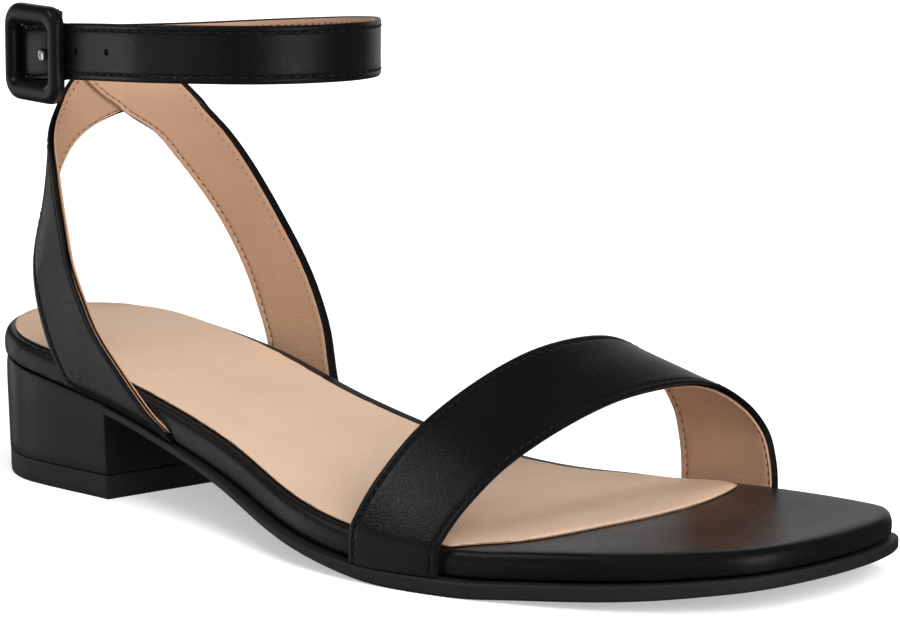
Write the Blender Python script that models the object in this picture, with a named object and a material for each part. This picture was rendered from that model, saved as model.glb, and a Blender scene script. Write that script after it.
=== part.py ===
# Block heel sandal, right shoe, in metres.
# X runs from the heel to the toe, Y to the medial side and Z up; the floor is Z = 0.
# The origin is on the floor under the middle of the heel. Plan sizes count from the back of the heel.
import bpy
import math

# Sole sizes
ORIGIN_X = 0.028
SOLE_LENGTH = 0.245
BALL_WIDTH = 0.084
HEEL_ROUND = 0.027
TOE_ROUND = 0.010
TOE_FULLNESS = 2.2
HEEL_RISE = 0.0299
FOOTBED_THICKNESS = 0.0077
MEDIAL_RISE = 0.0035
OUTSOLE_THICKNESS = 0.0038
OUTSOLE_LEDGE = 0.0026
SOCK_THICKNESS = 0.0008
SOCK_INSET = 0.0028

# Heel sizes
HEEL_LENGTH = 0.0545
HEEL_TURN = math.radians(10.0)
HEEL_INSET = 0.0004
HEEL_TAPER = 0.0008
TOP_LIFT_THICKNESS = 0.0060

# Strap sizes
STRAP_THICKNESS = 0.0020
VAMP_REAR_RISE = 0.0470
VAMP_FRONT_RISE = 0.0372
VAMP_REAR_LATERAL_X = 0.1520
VAMP_REAR_MEDIAL_X = 0.1800
VAMP_FRONT_LATERAL_X = 0.1760
VAMP_FRONT_MEDIAL_X = 0.2052
ANKLE_WIDTH = 0.0140
ANKLE_TOP = 0.1192
ANKLE_SLOPE_FORWARD = 0.065
ANKLE_SLOPE_MEDIAL = -0.045
ANKLE_TWIST = 0.50
ANKLE_CROWN = 0.42
ANKLE_LOOP_BACK = 0.0213
ANKLE_LOOP_LENGTH = 0.0922
ANKLE_LOOP_WIDTH = 0.0718
TAB_OVERLAP = 0.0095

# Buckle sizes
BUCKLE_HEADING = math.radians(-10.0)
BUCKLE_LIFT = -0.0003
BUCKLE_LENGTH = 0.0235
BUCKLE_HEIGHT = 0.0243
BUCKLE_BAR = 0.0050
BUCKLE_THICKNESS = 0.0036
BUCKLE_CORNER = 0.0050
CENTRE_BAR_RADIUS = 0.0010
CENTRE_BAR_PLAY = 0.0004
EYE_WALL = 0.0013
PRONG_RADIUS = 0.0008
PRONG_SLOT = 0.0046
HOLE_RADIUS = 0.0013
HOLE_OFFSET = 0.0032

# Clearance between neighbouring pieces
GAP = 0.0003

# Colour, roughness and metal share of each finish
BLACK_LEATHER = ((0.013, 0.013, 0.014), 0.42, 0.0)
TAN_LINING = ((0.56, 0.40, 0.29), 0.60, 0.0)
OUTSOLE_RUBBER = ((0.012, 0.012, 0.012), 0.50, 0.0)
HEEL_RUBBER = ((0.010, 0.010, 0.010), 0.55, 0.0)
BRIGHT_STEEL = ((0.75, 0.75, 0.76), 0.22, 1.0)

# Mesh counts: points along each side of the sole, sock and heel, and the end of the rounded outline
SIDE_POINTS = 40
SOCK_SIDE_POINTS = 30
HEEL_SIDE_POINTS = 24
OUTLINE_END = 0.00008

# Sole profile: station along the length, half widths as shares of BALL_WIDTH,
# underside height as a share of HEEL_RISE, thicknesses and ledge as shares of their named sizes,
# and the extra height of the medial edge as a share of MEDIAL_RISE.
STATION = (0.00, 0.12, 0.25, 0.40, 0.55, 0.68, 0.80, 0.90, 1.00)
MEDIAL_HALF = (0.325, 0.346, 0.340, 0.295, 0.375, 0.485, 0.546, 0.585, 0.585)
LATERAL_HALF = (0.321, 0.346, 0.348, 0.390, 0.498, 0.485, 0.382, 0.242, 0.004)
UNDERSIDE = (1.000, 0.886, 0.702, 0.435, 0.134, -0.018, 0.043, 0.110, 0.220)
FOOTBED_SHARE = (0.92, 0.90, 1.00, 1.04, 0.96, 0.86, 0.91, 0.87, 0.78)
OUTSOLE_SHARE = (0.58, 0.58, 0.58, 0.50, 0.60, 1.00, 0.97, 0.95, 0.80)
RISE_SHARE = (0.00, 0.22, 0.33, 0.40, 0.60, 1.00, 0.95, 0.60, 0.00)
LEDGE_SHARE = (0.10, 0.10, 0.25, 0.85, 1.00, 1.00, 1.00, 0.85, 0.50)

# Front edge of the sock: distance across the ball and distance along the sole.
SOCK_FRONT_ACROSS = (-0.405, -0.320, -0.215, -0.080, 0.040, 0.130, 0.225, 0.310, 0.385, 0.450, 0.515)
SOCK_FRONT_ALONG = (0.716, 0.758, 0.782, 0.799, 0.813, 0.820, 0.825, 0.825, 0.823, 0.819, 0.812)

# Arch of the forefoot strap: share of the span and share of the rise.
ARCH_ACROSS = (0.0, 0.0, 0.020, 0.085, 0.20, 0.36, 0.53, 0.70, 0.81, 0.905, 0.965, 0.990, 1.0, 1.0)
ARCH_RISE = (0.0, 0.14, 0.240, 0.420, 0.64, 0.83, 0.96, 1.00, 0.95, 0.800, 0.620, 0.440, 0.25, 0.0)

# Heel straps: share of the height and the angle of each edge about the ankle centre, in degrees.
YOKE_SHARE = (0.00, 0.10, 0.20, 0.30, 0.40, 0.50, 0.60, 0.70, 0.80, 0.88)
LATERAL_FRONT = (302.0, 278.0, 257.5, 246.0, 237.0, 231.5, 226.0, 220.5, 212.0, 203.5)
LATERAL_BACK = (242.0, 232.0, 224.5, 218.0, 211.5, 206.5, 202.5, 197.5, 186.5, 169.0)
MEDIAL_BACK = (98.0, 102.5, 109.0, 115.0, 121.7, 129.0, 137.2, 146.0, 155.5, 169.0)
MEDIAL_FRONT = (48.0, 57.5, 65.5, 76.0, 86.5, 96.5, 105.5, 114.0, 123.0, 131.5)
TAB_LATERAL = 189.0
TAB_MEDIAL = 143.0
YOKE_EASE = 2.5
YOKE_FOOT = 0.05

# Plan shares: distance forward from the back of the ankle loop over its length,
# and distance sideways over its width.
ANKLE_CENTRE = 0.4414
BUCKLE_ALONG = 0.1323
BUCKLE_ACROSS = -0.4081

# Outer face of the heel straps at the height of the ankle.
YOKE_PLAN = (
    (0.018, 0.111), (-0.001, -0.042), (0.018, -0.195), (0.084, -0.313), (0.225, -0.390),
    (0.398, -0.432), (0.615, -0.446), (0.854, -0.362), (1.016, -0.167), (1.049, 0.014),
    (0.995, 0.251), (0.799, 0.446), (0.528, 0.529), (0.279, 0.460), (0.105, 0.320),
)

# Middle line of the ankle strap, from the buckle round the heel and back on the lateral side.
ANKLE_PLAN = (
    (0.0445, -0.284), (0.011, -0.188), (0.000, -0.042), (0.018, 0.114), (0.101, 0.311),
    (0.275, 0.454), (0.520, 0.515), (0.747, 0.425), (0.900, 0.238), (0.977, 0.008),
    (0.944, -0.198), (0.824, -0.380), (0.615, -0.482), (0.387, -0.468),
)
TAIL_PLAN = ((-0.036, -0.292), (-0.057, -0.216))


def hermite(knots, values, at):
    """Smooth curve through the table values."""
    at = min(max(at, knots[0]), knots[-1])
    last = len(knots) - 1
    k = 0
    while k < last - 1 and at > knots[k + 1]:
        k += 1

    def slope(i):
        lo = max(i - 1, 0)
        hi = min(i + 1, last)
        return (values[hi] - values[lo]) / (knots[hi] - knots[lo])

    span = knots[k + 1] - knots[k]
    t = (at - knots[k]) / span
    a = 2 * t ** 3 - 3 * t ** 2 + 1
    b = t ** 3 - 2 * t ** 2 + t
    c = 3 * t ** 2 - 2 * t ** 3
    d = t ** 3 - t ** 2
    return a * values[k] + b * span * slope(k) + c * values[k + 1] + d * span * slope(k + 1)


def spline_points(points, steps, closed):
    """Points along a smooth curve through the given plan points."""
    count = len(points)
    result = []
    for i in range(count if closed else count - 1):
        if closed:
            p0, p1, p2, p3 = (points[(i + k) % count] for k in (-1, 0, 1, 2))
        else:
            p0, p1, p2, p3 = (points[min(max(i + k, 0), count - 1)] for k in (-1, 0, 1, 2))
        for j in range(steps):
            t = j / steps
            row = []
            for c in (0, 1):
                m0 = 0.5 * (p2[c] - p0[c])
                m1 = 0.5 * (p3[c] - p1[c])
                row.append((2 * t ** 3 - 3 * t ** 2 + 1) * p1[c] + (t ** 3 - 2 * t ** 2 + t) * m0
                           + (3 * t ** 2 - 2 * t ** 3) * p2[c] + (t ** 3 - t ** 2) * m1)
            result.append(tuple(row))
    if not closed:
        result.append(tuple(points[-1]))
    return result


def ankle_plan(points):
    """Plan points from shares of the ankle loop."""
    return [(ANKLE_LOOP_BACK + a * ANKLE_LOOP_LENGTH, c * ANKLE_LOOP_WIDTH) for a, c in points]


def ankle_centre_x():
    return ANKLE_LOOP_BACK + ANKLE_CENTRE * ANKLE_LOOP_LENGTH


# Sole surfaces

def side_y(x, medial):
    """Edge of the footbed in plan on one side at a distance x from the heel."""
    share = x / SOLE_LENGTH
    m = hermite(STATION, MEDIAL_HALF, share) * BALL_WIDTH
    n = -hermite(STATION, LATERAL_HALF, share) * BALL_WIDTH
    middle = 0.5 * (m + n)
    if x < HEEL_ROUND:
        cap = math.sqrt(max(1 - (1 - x / HEEL_ROUND) ** 2, 0))
        return (m if medial else n) * cap
    if x > SOLE_LENGTH - TOE_ROUND:
        t = (x - SOLE_LENGTH + TOE_ROUND) / TOE_ROUND
        cap = max(1 - t ** TOE_FULLNESS, 0) ** (1 / TOE_FULLNESS)
        return middle + ((m if medial else n) - middle) * cap
    return m if medial else n


def underside_z(x):
    """Height of the sole's underside; the forefoot lies flat on the floor."""
    return max(hermite(STATION, UNDERSIDE, x / SOLE_LENGTH) * HEEL_RISE, 0.0)


def seam_z(x, y=0.0):
    """Height where the footbed meets the outsole or the heel."""
    return underside_z(x) + hermite(STATION, OUTSOLE_SHARE, x / SOLE_LENGTH) * OUTSOLE_THICKNESS


def top_z(x, y=0.0):
    """Height of the footbed's upper face; its medial edge lies a little higher."""
    share = x / SOLE_LENGTH
    lateral = -hermite(STATION, LATERAL_HALF, share) * BALL_WIDTH
    medial = hermite(STATION, MEDIAL_HALF, share) * BALL_WIDTH
    tilt = (y - lateral) / (medial - lateral)
    rise = hermite(STATION, RISE_SHARE, share) * MEDIAL_RISE * tilt
    return seam_z(x) + hermite(STATION, FOOTBED_SHARE, share) * FOOTBED_THICKNESS + rise


def side_points(start, stop, count, medial):
    """Points along one side, closer together near the two ends of the sole."""
    a = math.acos(1 - 2 * start / SOLE_LENGTH)
    b = math.acos(1 - 2 * stop / SOLE_LENGTH)
    points = []
    for i in range(count):
        s = a + (b - a) * i / (count - 1)
        x = SOLE_LENGTH * (1 - math.cos(s)) / 2
        points.append((x, side_y(x, medial)))
    return points


def offset_loop(loop, distance, breast=False):
    """Closed plan loop moved outward by a distance; a straight breast keeps its line."""
    moved = []
    count = len(loop)
    for i in range(count):
        ax, ay = loop[i - 1]
        bx, by = loop[(i + 1) % count]
        px, py = loop[i]
        ex, ey = px - ax, py - ay
        fx, fy = bx - px, by - py
        le = math.hypot(ex, ey) or 1.0
        lf = math.hypot(fx, fy) or 1.0
        nx = ey / le + fy / lf
        ny = -ex / le - fx / lf
        ln = math.hypot(nx, ny) or 1.0
        nx, ny = nx / ln, ny / ln
        spread = max(nx * ey / le - ny * ex / le, 0.5)
        reach = distance(px) / spread if callable(distance) else distance / spread
        moved.append((px + nx * reach, py + ny * reach))
    if breast:
        (ax, ay), (bx, by) = loop[0], loop[-1]
        length = math.hypot(bx - ax, by - ay)
        reach = distance(ax) if callable(distance) else distance
        dx, dy = (bx - ax) / length * reach, (by - ay) / length * reach
        moved[0] = (ax - dx, ay - dy)
        moved[-1] = (bx + dx, by + dy)
    return moved


# Mesh helpers

def make_material(name, colour, roughness, metallic):
    material = bpy.data.materials.new(name)
    material.use_nodes = True
    shader = material.node_tree.nodes["Principled BSDF"]
    shader.inputs["Base Color"].default_value = (*colour, 1.0)
    shader.inputs["Roughness"].default_value = roughness
    shader.inputs["Metallic"].default_value = metallic
    material.diffuse_color = (*colour, 1.0)
    return material


def make_object(name, vertices, faces, material):
    mesh = bpy.data.meshes.new(name)
    mesh.from_pydata([(x - ORIGIN_X, y, z) for x, y, z in vertices], [], faces)
    mesh.update()
    thing = bpy.data.objects.new(name, mesh)
    bpy.context.scene.collection.objects.link(thing)
    mesh.materials.append(material)
    return thing


def loft_sheet(name, loop, rings, material, breast=False):
    """Closed body over a plan loop; each ring gives an offset and a height function."""
    count = len(loop)
    vertices = []
    for distance, height in rings:
        for x, y in offset_loop(loop, distance, breast):
            vertices.append((x, y, height(x, y)))
    faces = []
    for r in range(len(rings) - 1):
        for i in range(count):
            j = (i + 1) % count
            faces.append((r * count + i, r * count + j, (r + 1) * count + j, (r + 1) * count + i))
    top = (len(rings) - 1) * count
    for i in range(count // 2 - 1):
        k = count - 1 - i
        faces.append((i + 1, i, k, k - 1))
        faces.append((top + i, top + i + 1, top + k - 1, top + k))
    return make_object(name, vertices, faces, material)


def normal_at(grid, u, v):
    """Unit normal of a grid of points, pointing to the outer side."""
    lu, lv = len(grid), len(grid[0])
    a = grid[max(u - 1, 0)][v]
    b = grid[min(u + 1, lu - 1)][v]
    c = grid[u][max(v - 1, 0)]
    d = grid[u][min(v + 1, lv - 1)]
    e = [b[k] - a[k] for k in range(3)]
    f = [d[k] - c[k] for k in range(3)]
    n = (f[1] * e[2] - f[2] * e[1], f[2] * e[0] - f[0] * e[2], f[0] * e[1] - f[1] * e[0])
    length = math.sqrt(sum(k * k for k in n)) or 1.0
    return [k / length for k in n]


# Sole pieces

def between(share):
    """Height function of the footbed from its underside to its upper face."""
    return lambda x, y: seam_z(x) + GAP + (top_z(x, y) - seam_z(x) - GAP) * share


def build_footbed():
    loop = side_points(OUTLINE_END, SOLE_LENGTH - OUTLINE_END, SIDE_POINTS, False)
    loop += side_points(OUTLINE_END, SOLE_LENGTH - OUTLINE_END, SIDE_POINTS, True)[::-1]
    loft_sheet("footbed", loop, (
        (-0.0006, between(0.0)), (-0.0001, between(0.07)), (0.0, between(0.28)), (0.0, between(0.55)),
        (-0.0004, between(0.78)), (-0.0013, between(0.94)), (-0.0028, between(1.0)),
    ), make_material("footbed_leather", *BLACK_LEATHER))


def breast_ends(start):
    """Where the heel's front face meets the lateral and the medial side of the sole."""
    width = side_y(start, True) - side_y(start, False)
    return start, start + width * math.tan(HEEL_TURN)


def build_outsole():
    lateral_start, medial_start = breast_ends(HEEL_LENGTH + 2 * GAP)
    loop = side_points(lateral_start, SOLE_LENGTH - OUTLINE_END, SIDE_POINTS, False)
    loop += side_points(medial_start, SOLE_LENGTH - OUTLINE_END, SIDE_POINTS, True)[::-1]

    def height(share):
        return lambda x, y: underside_z(x) + (seam_z(x) - underside_z(x)) * share

    def ledge(inward):
        return lambda x: hermite(STATION, LEDGE_SHARE, x / SOLE_LENGTH) * OUTSOLE_LEDGE - inward

    loft_sheet("outsole", loop, (
        (ledge(0.0005), height(0.0)), (ledge(0.0), height(0.18)),
        (ledge(0.0), height(0.85)), (ledge(0.0004), height(1.0)),
    ), make_material("outsole_rubber", *OUTSOLE_RUBBER), breast=True)


def build_sock():
    lateral = side_points(OUTLINE_END, SOCK_FRONT_ALONG[0] * SOLE_LENGTH, SOCK_SIDE_POINTS, False)
    medial = side_points(OUTLINE_END, SOCK_FRONT_ALONG[-1] * SOLE_LENGTH, SOCK_SIDE_POINTS, True)
    loop = offset_loop(lateral + medial[::-1], -SOCK_INSET)
    lateral_part = loop[:SOCK_SIDE_POINTS]
    medial_part = loop[SOCK_SIDE_POINTS:]
    front = [(SOLE_LENGTH * a, BALL_WIDTH * c) for a, c in zip(SOCK_FRONT_ALONG, SOCK_FRONT_ACROSS)]
    front = spline_points(front, 2, False)[1:-1]
    lateral_part[-1] = (front[0][0] - 0.004, lateral_part[-1][1])
    if len(front) % 2:
        front.pop(len(front) // 2)

    def height(share):
        return lambda x, y: top_z(x, y) + GAP + SOCK_THICKNESS * share

    loft_sheet("sock", lateral_part + front + medial_part, (
        (0.0, height(0.0)), (0.0, height(0.6)), (-SOCK_THICKNESS / 2, height(1.0)),
    ), make_material("sock_lining", *TAN_LINING))


def build_heel():
    lateral_end, medial_end = breast_ends(HEEL_LENGTH)
    loop = side_points(OUTLINE_END, medial_end, HEEL_SIDE_POINTS, True)[::-1]
    loop += side_points(OUTLINE_END, lateral_end, HEEL_SIDE_POINTS, False)

    def height(share):
        base = TOP_LIFT_THICKNESS + GAP
        return lambda x, y: base + (seam_z(x) - GAP - base) * share

    loft_sheet("heel_block", loop, (
        (-HEEL_INSET - HEEL_TAPER, height(0.0)), (-HEEL_INSET - HEEL_TAPER * 0.45, height(0.5)),
        (-HEEL_INSET, height(0.93)), (-HEEL_INSET - 0.0005, height(1.0)),
    ), make_material("heel_leather", *BLACK_LEATHER), breast=True)
    edge = -HEEL_INSET - HEEL_TAPER - 0.0001
    loft_sheet("top_lift", loop, (
        (edge - 0.0003, lambda x, y: 0.0), (edge, lambda x, y: 0.0005),
        (edge, lambda x, y: TOP_LIFT_THICKNESS),
    ), make_material("heel_rubber", *HEEL_RUBBER), breast=True)


def build_sole():
    build_footbed()
    build_outsole()
    build_sock()
    build_heel()


# Strap pieces

def close_strap(name, outer, inner, material):
    """Closed strap from matching outer and inner grids."""
    lu, lv = len(outer), len(outer[0])
    vertices = [p for row in outer for p in row] + [p for row in inner for p in row]
    shift = lu * lv
    faces = []
    for u in range(lu - 1):
        for v in range(lv - 1):
            a, b = u * lv + v, (u + 1) * lv + v
            faces.append((a, b, b + 1, a + 1))
            faces.append((shift + a, shift + a + 1, shift + b + 1, shift + b))
        a, b = u * lv, (u + 1) * lv
        faces.append((a, shift + a, shift + b, b))
        a, b = u * lv + lv - 1, (u + 1) * lv + lv - 1
        faces.append((a, b, shift + b, shift + a))
    for v in range(lv - 1):
        faces.append((v, v + 1, shift + v + 1, shift + v))
        a = (lu - 1) * lv + v
        faces.append((a, shift + a, shift + a + 1, a + 1))
    return make_object(name, vertices, faces, material)


def vamp_point(u, v):
    """Outer face of the forefoot strap; u runs from lateral to medial, v from rear to front."""
    rows = len(ARCH_ACROSS) - 1
    knots = [k / rows for k in range(rows + 1)]
    across = min(max(hermite(knots, ARCH_ACROSS, u), 0.0), 1.0)
    rise = max(hermite(knots, ARCH_RISE, u), 0.0)
    lateral_x = VAMP_REAR_LATERAL_X + (VAMP_FRONT_LATERAL_X - VAMP_REAR_LATERAL_X) * v
    medial_x = VAMP_REAR_MEDIAL_X + (VAMP_FRONT_MEDIAL_X - VAMP_REAR_MEDIAL_X) * v
    reach = GAP + STRAP_THICKNESS
    lateral_y = side_y(lateral_x, False) - reach
    medial_y = side_y(medial_x, True) + reach
    x = lateral_x + (medial_x - lateral_x) * across
    y = lateral_y + (medial_y - lateral_y) * across
    foot = seam_z(lateral_x) * (1 - across) + seam_z(medial_x) * across + GAP
    height = VAMP_REAR_RISE + (VAMP_FRONT_RISE - VAMP_REAR_RISE) * v
    return (x, y, foot + height * rise)


def build_vamp():
    material = make_material("vamp_leather", *BLACK_LEATHER)
    across, along = 44, 4
    outer = [[vamp_point(i / across, j / along) for j in range(along + 1)] for i in range(across + 1)]
    inner = []
    for i in range(across + 1):
        row = []
        for j in range(along + 1):
            n = normal_at(outer, i, j)
            if i in (0, 1, across - 1, across):
                n = (0.0, -1.0 if i < 2 else 1.0, 0.0)
            row.append(tuple(outer[i][j][k] - n[k] * STRAP_THICKNESS for k in range(3)))
        inner.append(row)
    return close_strap("vamp_strap", outer, inner, material)


def ankle_top_z(x, y):
    """Top edge of the ankle strap: sloped both ways, twisted up at the medial front, and crowned."""
    forward = x - ankle_centre_x()
    across = y - BUCKLE_ACROSS * ANKLE_LOOP_WIDTH
    bend = ANKLE_TWIST * forward * across - ANKLE_CROWN * forward ** 2
    return ANKLE_TOP + ANKLE_SLOPE_FORWARD * forward + ANKLE_SLOPE_MEDIAL * y + bend


def polar_radius(curve, angle):
    """Distance from the ankle centre to a closed plan curve along one direction."""
    dx, dy = math.cos(angle), math.sin(angle)
    centre = ankle_centre_x()
    best = 0.0
    count = len(curve)
    for i in range(count):
        ax, ay = curve[i][0] - centre, curve[i][1]
        bx, by = curve[(i + 1) % count][0] - centre, curve[(i + 1) % count][1]
        ex, ey = bx - ax, by - ay
        cross = dx * ey - dy * ex
        if abs(cross) < 1e-12:
            continue
        along = (ax * ey - ay * ex) / cross
        share = (ax * dy - ay * dx) / cross
        if along > best and -1e-9 <= share <= 1 + 1e-9:
            best = along
    return best


def yoke_surface():
    """Outer face of the heel straps as a function of angle and height share."""
    base_loop = side_points(0.0, SOLE_LENGTH, 90, False)
    base_loop += side_points(0.0, SOLE_LENGTH, 90, True)[::-1][1:-1]
    base_loop = offset_loop(base_loop, GAP + STRAP_THICKNESS)
    top_loop = spline_points(ankle_plan(YOKE_PLAN), 8, True)
    centre = ankle_centre_x()

    def point(angle, share, inward=0.0):
        dx, dy = math.cos(angle), math.sin(angle)
        low = polar_radius(base_loop, angle)
        high = polar_radius(top_loop, angle)
        rise = min(max((share - YOKE_FOOT) / (1 - YOKE_FOOT), 0.0), 1.0)
        ease = 1 - (1 - rise) ** YOKE_EASE
        radius = low + (high - low) * ease
        foot = seam_z(centre + dx * low) + 2 * GAP
        head = ankle_top_z(centre + dx * high, dy * high) - ANKLE_WIDTH
        radius -= inward
        return (centre + dx * radius, dy * radius, foot + (head - foot) * share)

    return point


def build_yoke(material):
    """Both heel straps and the tab where they join, as one closed strap."""
    surface = yoke_surface()
    half = 6
    rows = []
    leg_rows = 22
    apex = YOKE_SHARE[-1]
    for r in range(leg_rows + 1):
        share = apex * r / leg_rows
        lf, lb, mb, mf = (math.radians(hermite(YOKE_SHARE, t, share))
                          for t in (LATERAL_FRONT, LATERAL_BACK, MEDIAL_BACK, MEDIAL_FRONT))
        lateral = [lf + (lb - lf) * k / half for k in range(half + 1)]
        medial = [mb + (mf - mb) * k / half for k in range(half + 1)]
        rows.append((share, lateral, medial))
    tab_rows = 5
    top_share = 1.0 + TAB_OVERLAP / (ANKLE_TOP - ANKLE_WIDTH - HEEL_RISE)
    lf0, mf0 = rows[-1][1][0], rows[-1][2][-1]
    apex_angle = rows[-1][1][-1]
    for r in range(1, tab_rows + 1):
        t = r / tab_rows
        share = apex + (top_share - apex) * t
        lf = lf0 + (math.radians(TAB_LATERAL) - lf0) * min(t * 1.6, 1.0)
        mf = mf0 + (math.radians(TAB_MEDIAL) - mf0) * min(t * 1.6, 1.0)
        lateral = [lf + (apex_angle - lf) * k / half for k in range(half + 1)]
        medial = [apex_angle + (mf - apex_angle) * k / half for k in range(half + 1)]
        rows.append((share, lateral, medial))

    vertices = []
    index = {}

    def vertex(row, side, k, inward):
        joined = row >= leg_rows and ((side == 0 and k == half) or (side == 1 and k == 0))
        key = (row, "mid" if joined else (side, k), inward)
        if key not in index:
            share, lateral, medial = rows[row]
            angle = (lateral, medial)[side][k]
            index[key] = len(vertices)
            vertices.append(surface(angle, share, STRAP_THICKNESS if inward else 0.0))
        return index[key]

    faces = []
    last = len(rows) - 1
    for r in range(last):
        for side in (0, 1):
            for k in range(half):
                a, b = vertex(r, side, k, False), vertex(r, side, k + 1, False)
                c, d = vertex(r + 1, side, k + 1, False), vertex(r + 1, side, k, False)
                faces.append((a, d, c, b))
                a, b = vertex(r, side, k, True), vertex(r, side, k + 1, True)
                c, d = vertex(r + 1, side, k + 1, True), vertex(r + 1, side, k, True)
                faces.append((a, b, c, d))
            outer_edge = 0 if side == 0 else half
            inner_edge = half - outer_edge
            edges = [outer_edge] if r >= leg_rows else [outer_edge, inner_edge]
            for k in edges:
                a, b = vertex(r, side, k, False), vertex(r + 1, side, k, False)
                c, d = vertex(r + 1, side, k, True), vertex(r, side, k, True)
                faces.append((a, d, c, b) if k == 0 else (a, b, c, d))
    for row, flip in ((0, False), (last, True)):
        for side in (0, 1):
            for k in range(half):
                a, b = vertex(row, side, k, False), vertex(row, side, k + 1, False)
                c, d = vertex(row, side, k + 1, True), vertex(row, side, k, True)
                faces.append((a, d, c, b) if flip else (a, b, c, d))
    return make_object("ankle_upper", vertices, faces, material)


def buckle_frame_axes():
    """Origin and axes of the buckle: along the strap, out of the strap, and up."""
    along = (math.cos(BUCKLE_HEADING), math.sin(BUCKLE_HEADING), 0.0)
    out = (math.sin(BUCKLE_HEADING), -math.cos(BUCKLE_HEADING), 0.0)
    up = (0.0, 0.0, 1.0)
    (x, y), = ankle_plan([(BUCKLE_ALONG, BUCKLE_ACROSS)])
    centre = (x, y, ankle_top_z(x, y) - ANKLE_WIDTH / 2 + BUCKLE_LIFT)
    return centre, along, out, up


def buckle_point(t, n, v):
    centre, along, out, up = buckle_frame_axes()
    return tuple(centre[k] + along[k] * t + out[k] * n + up[k] * v for k in range(3))


def strap_depth():
    """How deep the inner face of the strap lies in the buckle's window."""
    return 2 * GAP + STRAP_THICKNESS


def eye_radius():
    """Outer radius of the leather fold round the centre bar."""
    return CENTRE_BAR_RADIUS + GAP + EYE_WALL


def bar_depth():
    """How deep the centre bar lies under the strap in the buckle's window."""
    return strap_depth() + CENTRE_BAR_PLAY + eye_radius()


def ribbon(name, path, material, taper=0):
    """Upright strap along a plan path, with flat edges; the last stations may narrow to a tip."""
    outer, inner = [], []
    count = len(path)
    for i in range(count):
        ax, ay = path[max(i - 1, 0)]
        bx, by = path[min(i + 1, count - 1)]
        length = math.hypot(bx - ax, by - ay)
        nx, ny = (by - ay) / length, -(bx - ax) / length
        x, y = path[i]
        half = STRAP_THICKNESS / 2
        top = ankle_top_z(x, y)
        middle = top - ANKLE_WIDTH / 2
        left = count - 1 - i
        reach = ANKLE_WIDTH / 2
        if left < taper:
            reach *= 0.45 + 0.55 * math.sqrt(max(1 - (1 - left / taper) ** 2, 0))
        outer.append([(x + nx * half, y + ny * half, middle + reach * s) for s in (-1, -0.5, 0, 0.5, 1)])
        inner.append([(x - nx * half, y - ny * half, middle + reach * s) for s in (-1, -0.5, 0, 0.5, 1)])
    return close_strap(name, outer, inner, material)


def tube(name, centre, radius_in, radius_out, low, high, material, count=20):
    """Closed tube or rod along the buckle's up direction."""
    vertices = []
    rims = ((radius_out, low), (radius_out, high), (radius_in, high), (radius_in, low))
    if radius_in <= 0:
        rims = rims[:2]
    for radius, v in rims:
        for i in range(count):
            a = 2 * math.pi * i / count
            t, n = centre[0] + radius * math.cos(a), centre[1] + radius * math.sin(a)
            vertices.append(buckle_point(t, n, v))
    faces = []
    rings = len(rims)
    for r in range(rings if radius_in > 0 else 1):
        s = (r + 1) % rings
        for i in range(count):
            j = (i + 1) % count
            faces.append((r * count + i, s * count + i, s * count + j, r * count + j))
    if radius_in <= 0:
        faces.append(tuple(range(count)))
        faces.append(tuple(range(2 * count - 1, count - 1, -1)))
    return make_object(name, vertices, faces, material)


def rod(name, points, radius, material, count=10):
    """Round rod through points given in the buckle's axes."""
    rings = []
    total = len(points)
    for i in range(total):
        a = points[max(i - 1, 0)]
        b = points[min(i + 1, total - 1)]
        d = (b[0] - a[0], b[1] - a[1])
        length = math.hypot(*d) or 1.0
        side = (-d[1] / length, d[0] / length)
        ring = []
        for k in range(count):
            w = 2 * math.pi * k / count
            t = points[i][0] + side[0] * radius * math.cos(w)
            n = points[i][1] + side[1] * radius * math.cos(w)
            ring.append(buckle_point(t, n, radius * math.sin(w)))
        rings.append(ring)
    vertices = [p for ring in rings for p in ring]
    faces = []
    for i in range(total - 1):
        for k in range(count):
            m = (k + 1) % count
            faces.append((i * count + k, (i + 1) * count + k, (i + 1) * count + m, i * count + m))
    faces.append(tuple(range(count)))
    faces.append(tuple(range(total * count - 1, (total - 1) * count - 1, -1)))
    return make_object(name, vertices, faces, material)


def block(name, along, out, up, material):
    """Box between limits given in the buckle's axes."""
    vertices = [buckle_point(t, n, v) for t in along for n in out for v in up]
    faces = [(0, 1, 3, 2), (4, 6, 7, 5), (0, 4, 5, 1), (2, 3, 7, 6), (0, 2, 6, 4), (1, 5, 7, 3)]
    thing = make_object(name, vertices, faces, material)
    face_out(thing)
    return thing


def combine(target, tool, operation):
    """Apply a Boolean and remove the tool."""
    modifier = target.modifiers.new("join", "BOOLEAN")
    modifier.operation = operation
    modifier.solver = "EXACT"
    modifier.object = tool
    bpy.context.view_layer.update()
    graph = bpy.context.evaluated_depsgraph_get()
    mesh = bpy.data.meshes.new_from_object(target.evaluated_get(graph))
    target.modifiers.clear()
    target.data = mesh
    bpy.data.objects.remove(tool)


def face_out(thing):
    """Turn the faces outward when the closed body is inside out."""
    volume = 0.0
    points = [v.co for v in thing.data.vertices]
    for polygon in thing.data.polygons:
        first = points[polygon.vertices[0]]
        for k in range(1, len(polygon.vertices) - 1):
            b = points[polygon.vertices[k]]
            c = points[polygon.vertices[k + 1]]
            volume += first.dot(b.cross(c))
    if volume < 0:
        thing.data.flip_normals()


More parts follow.
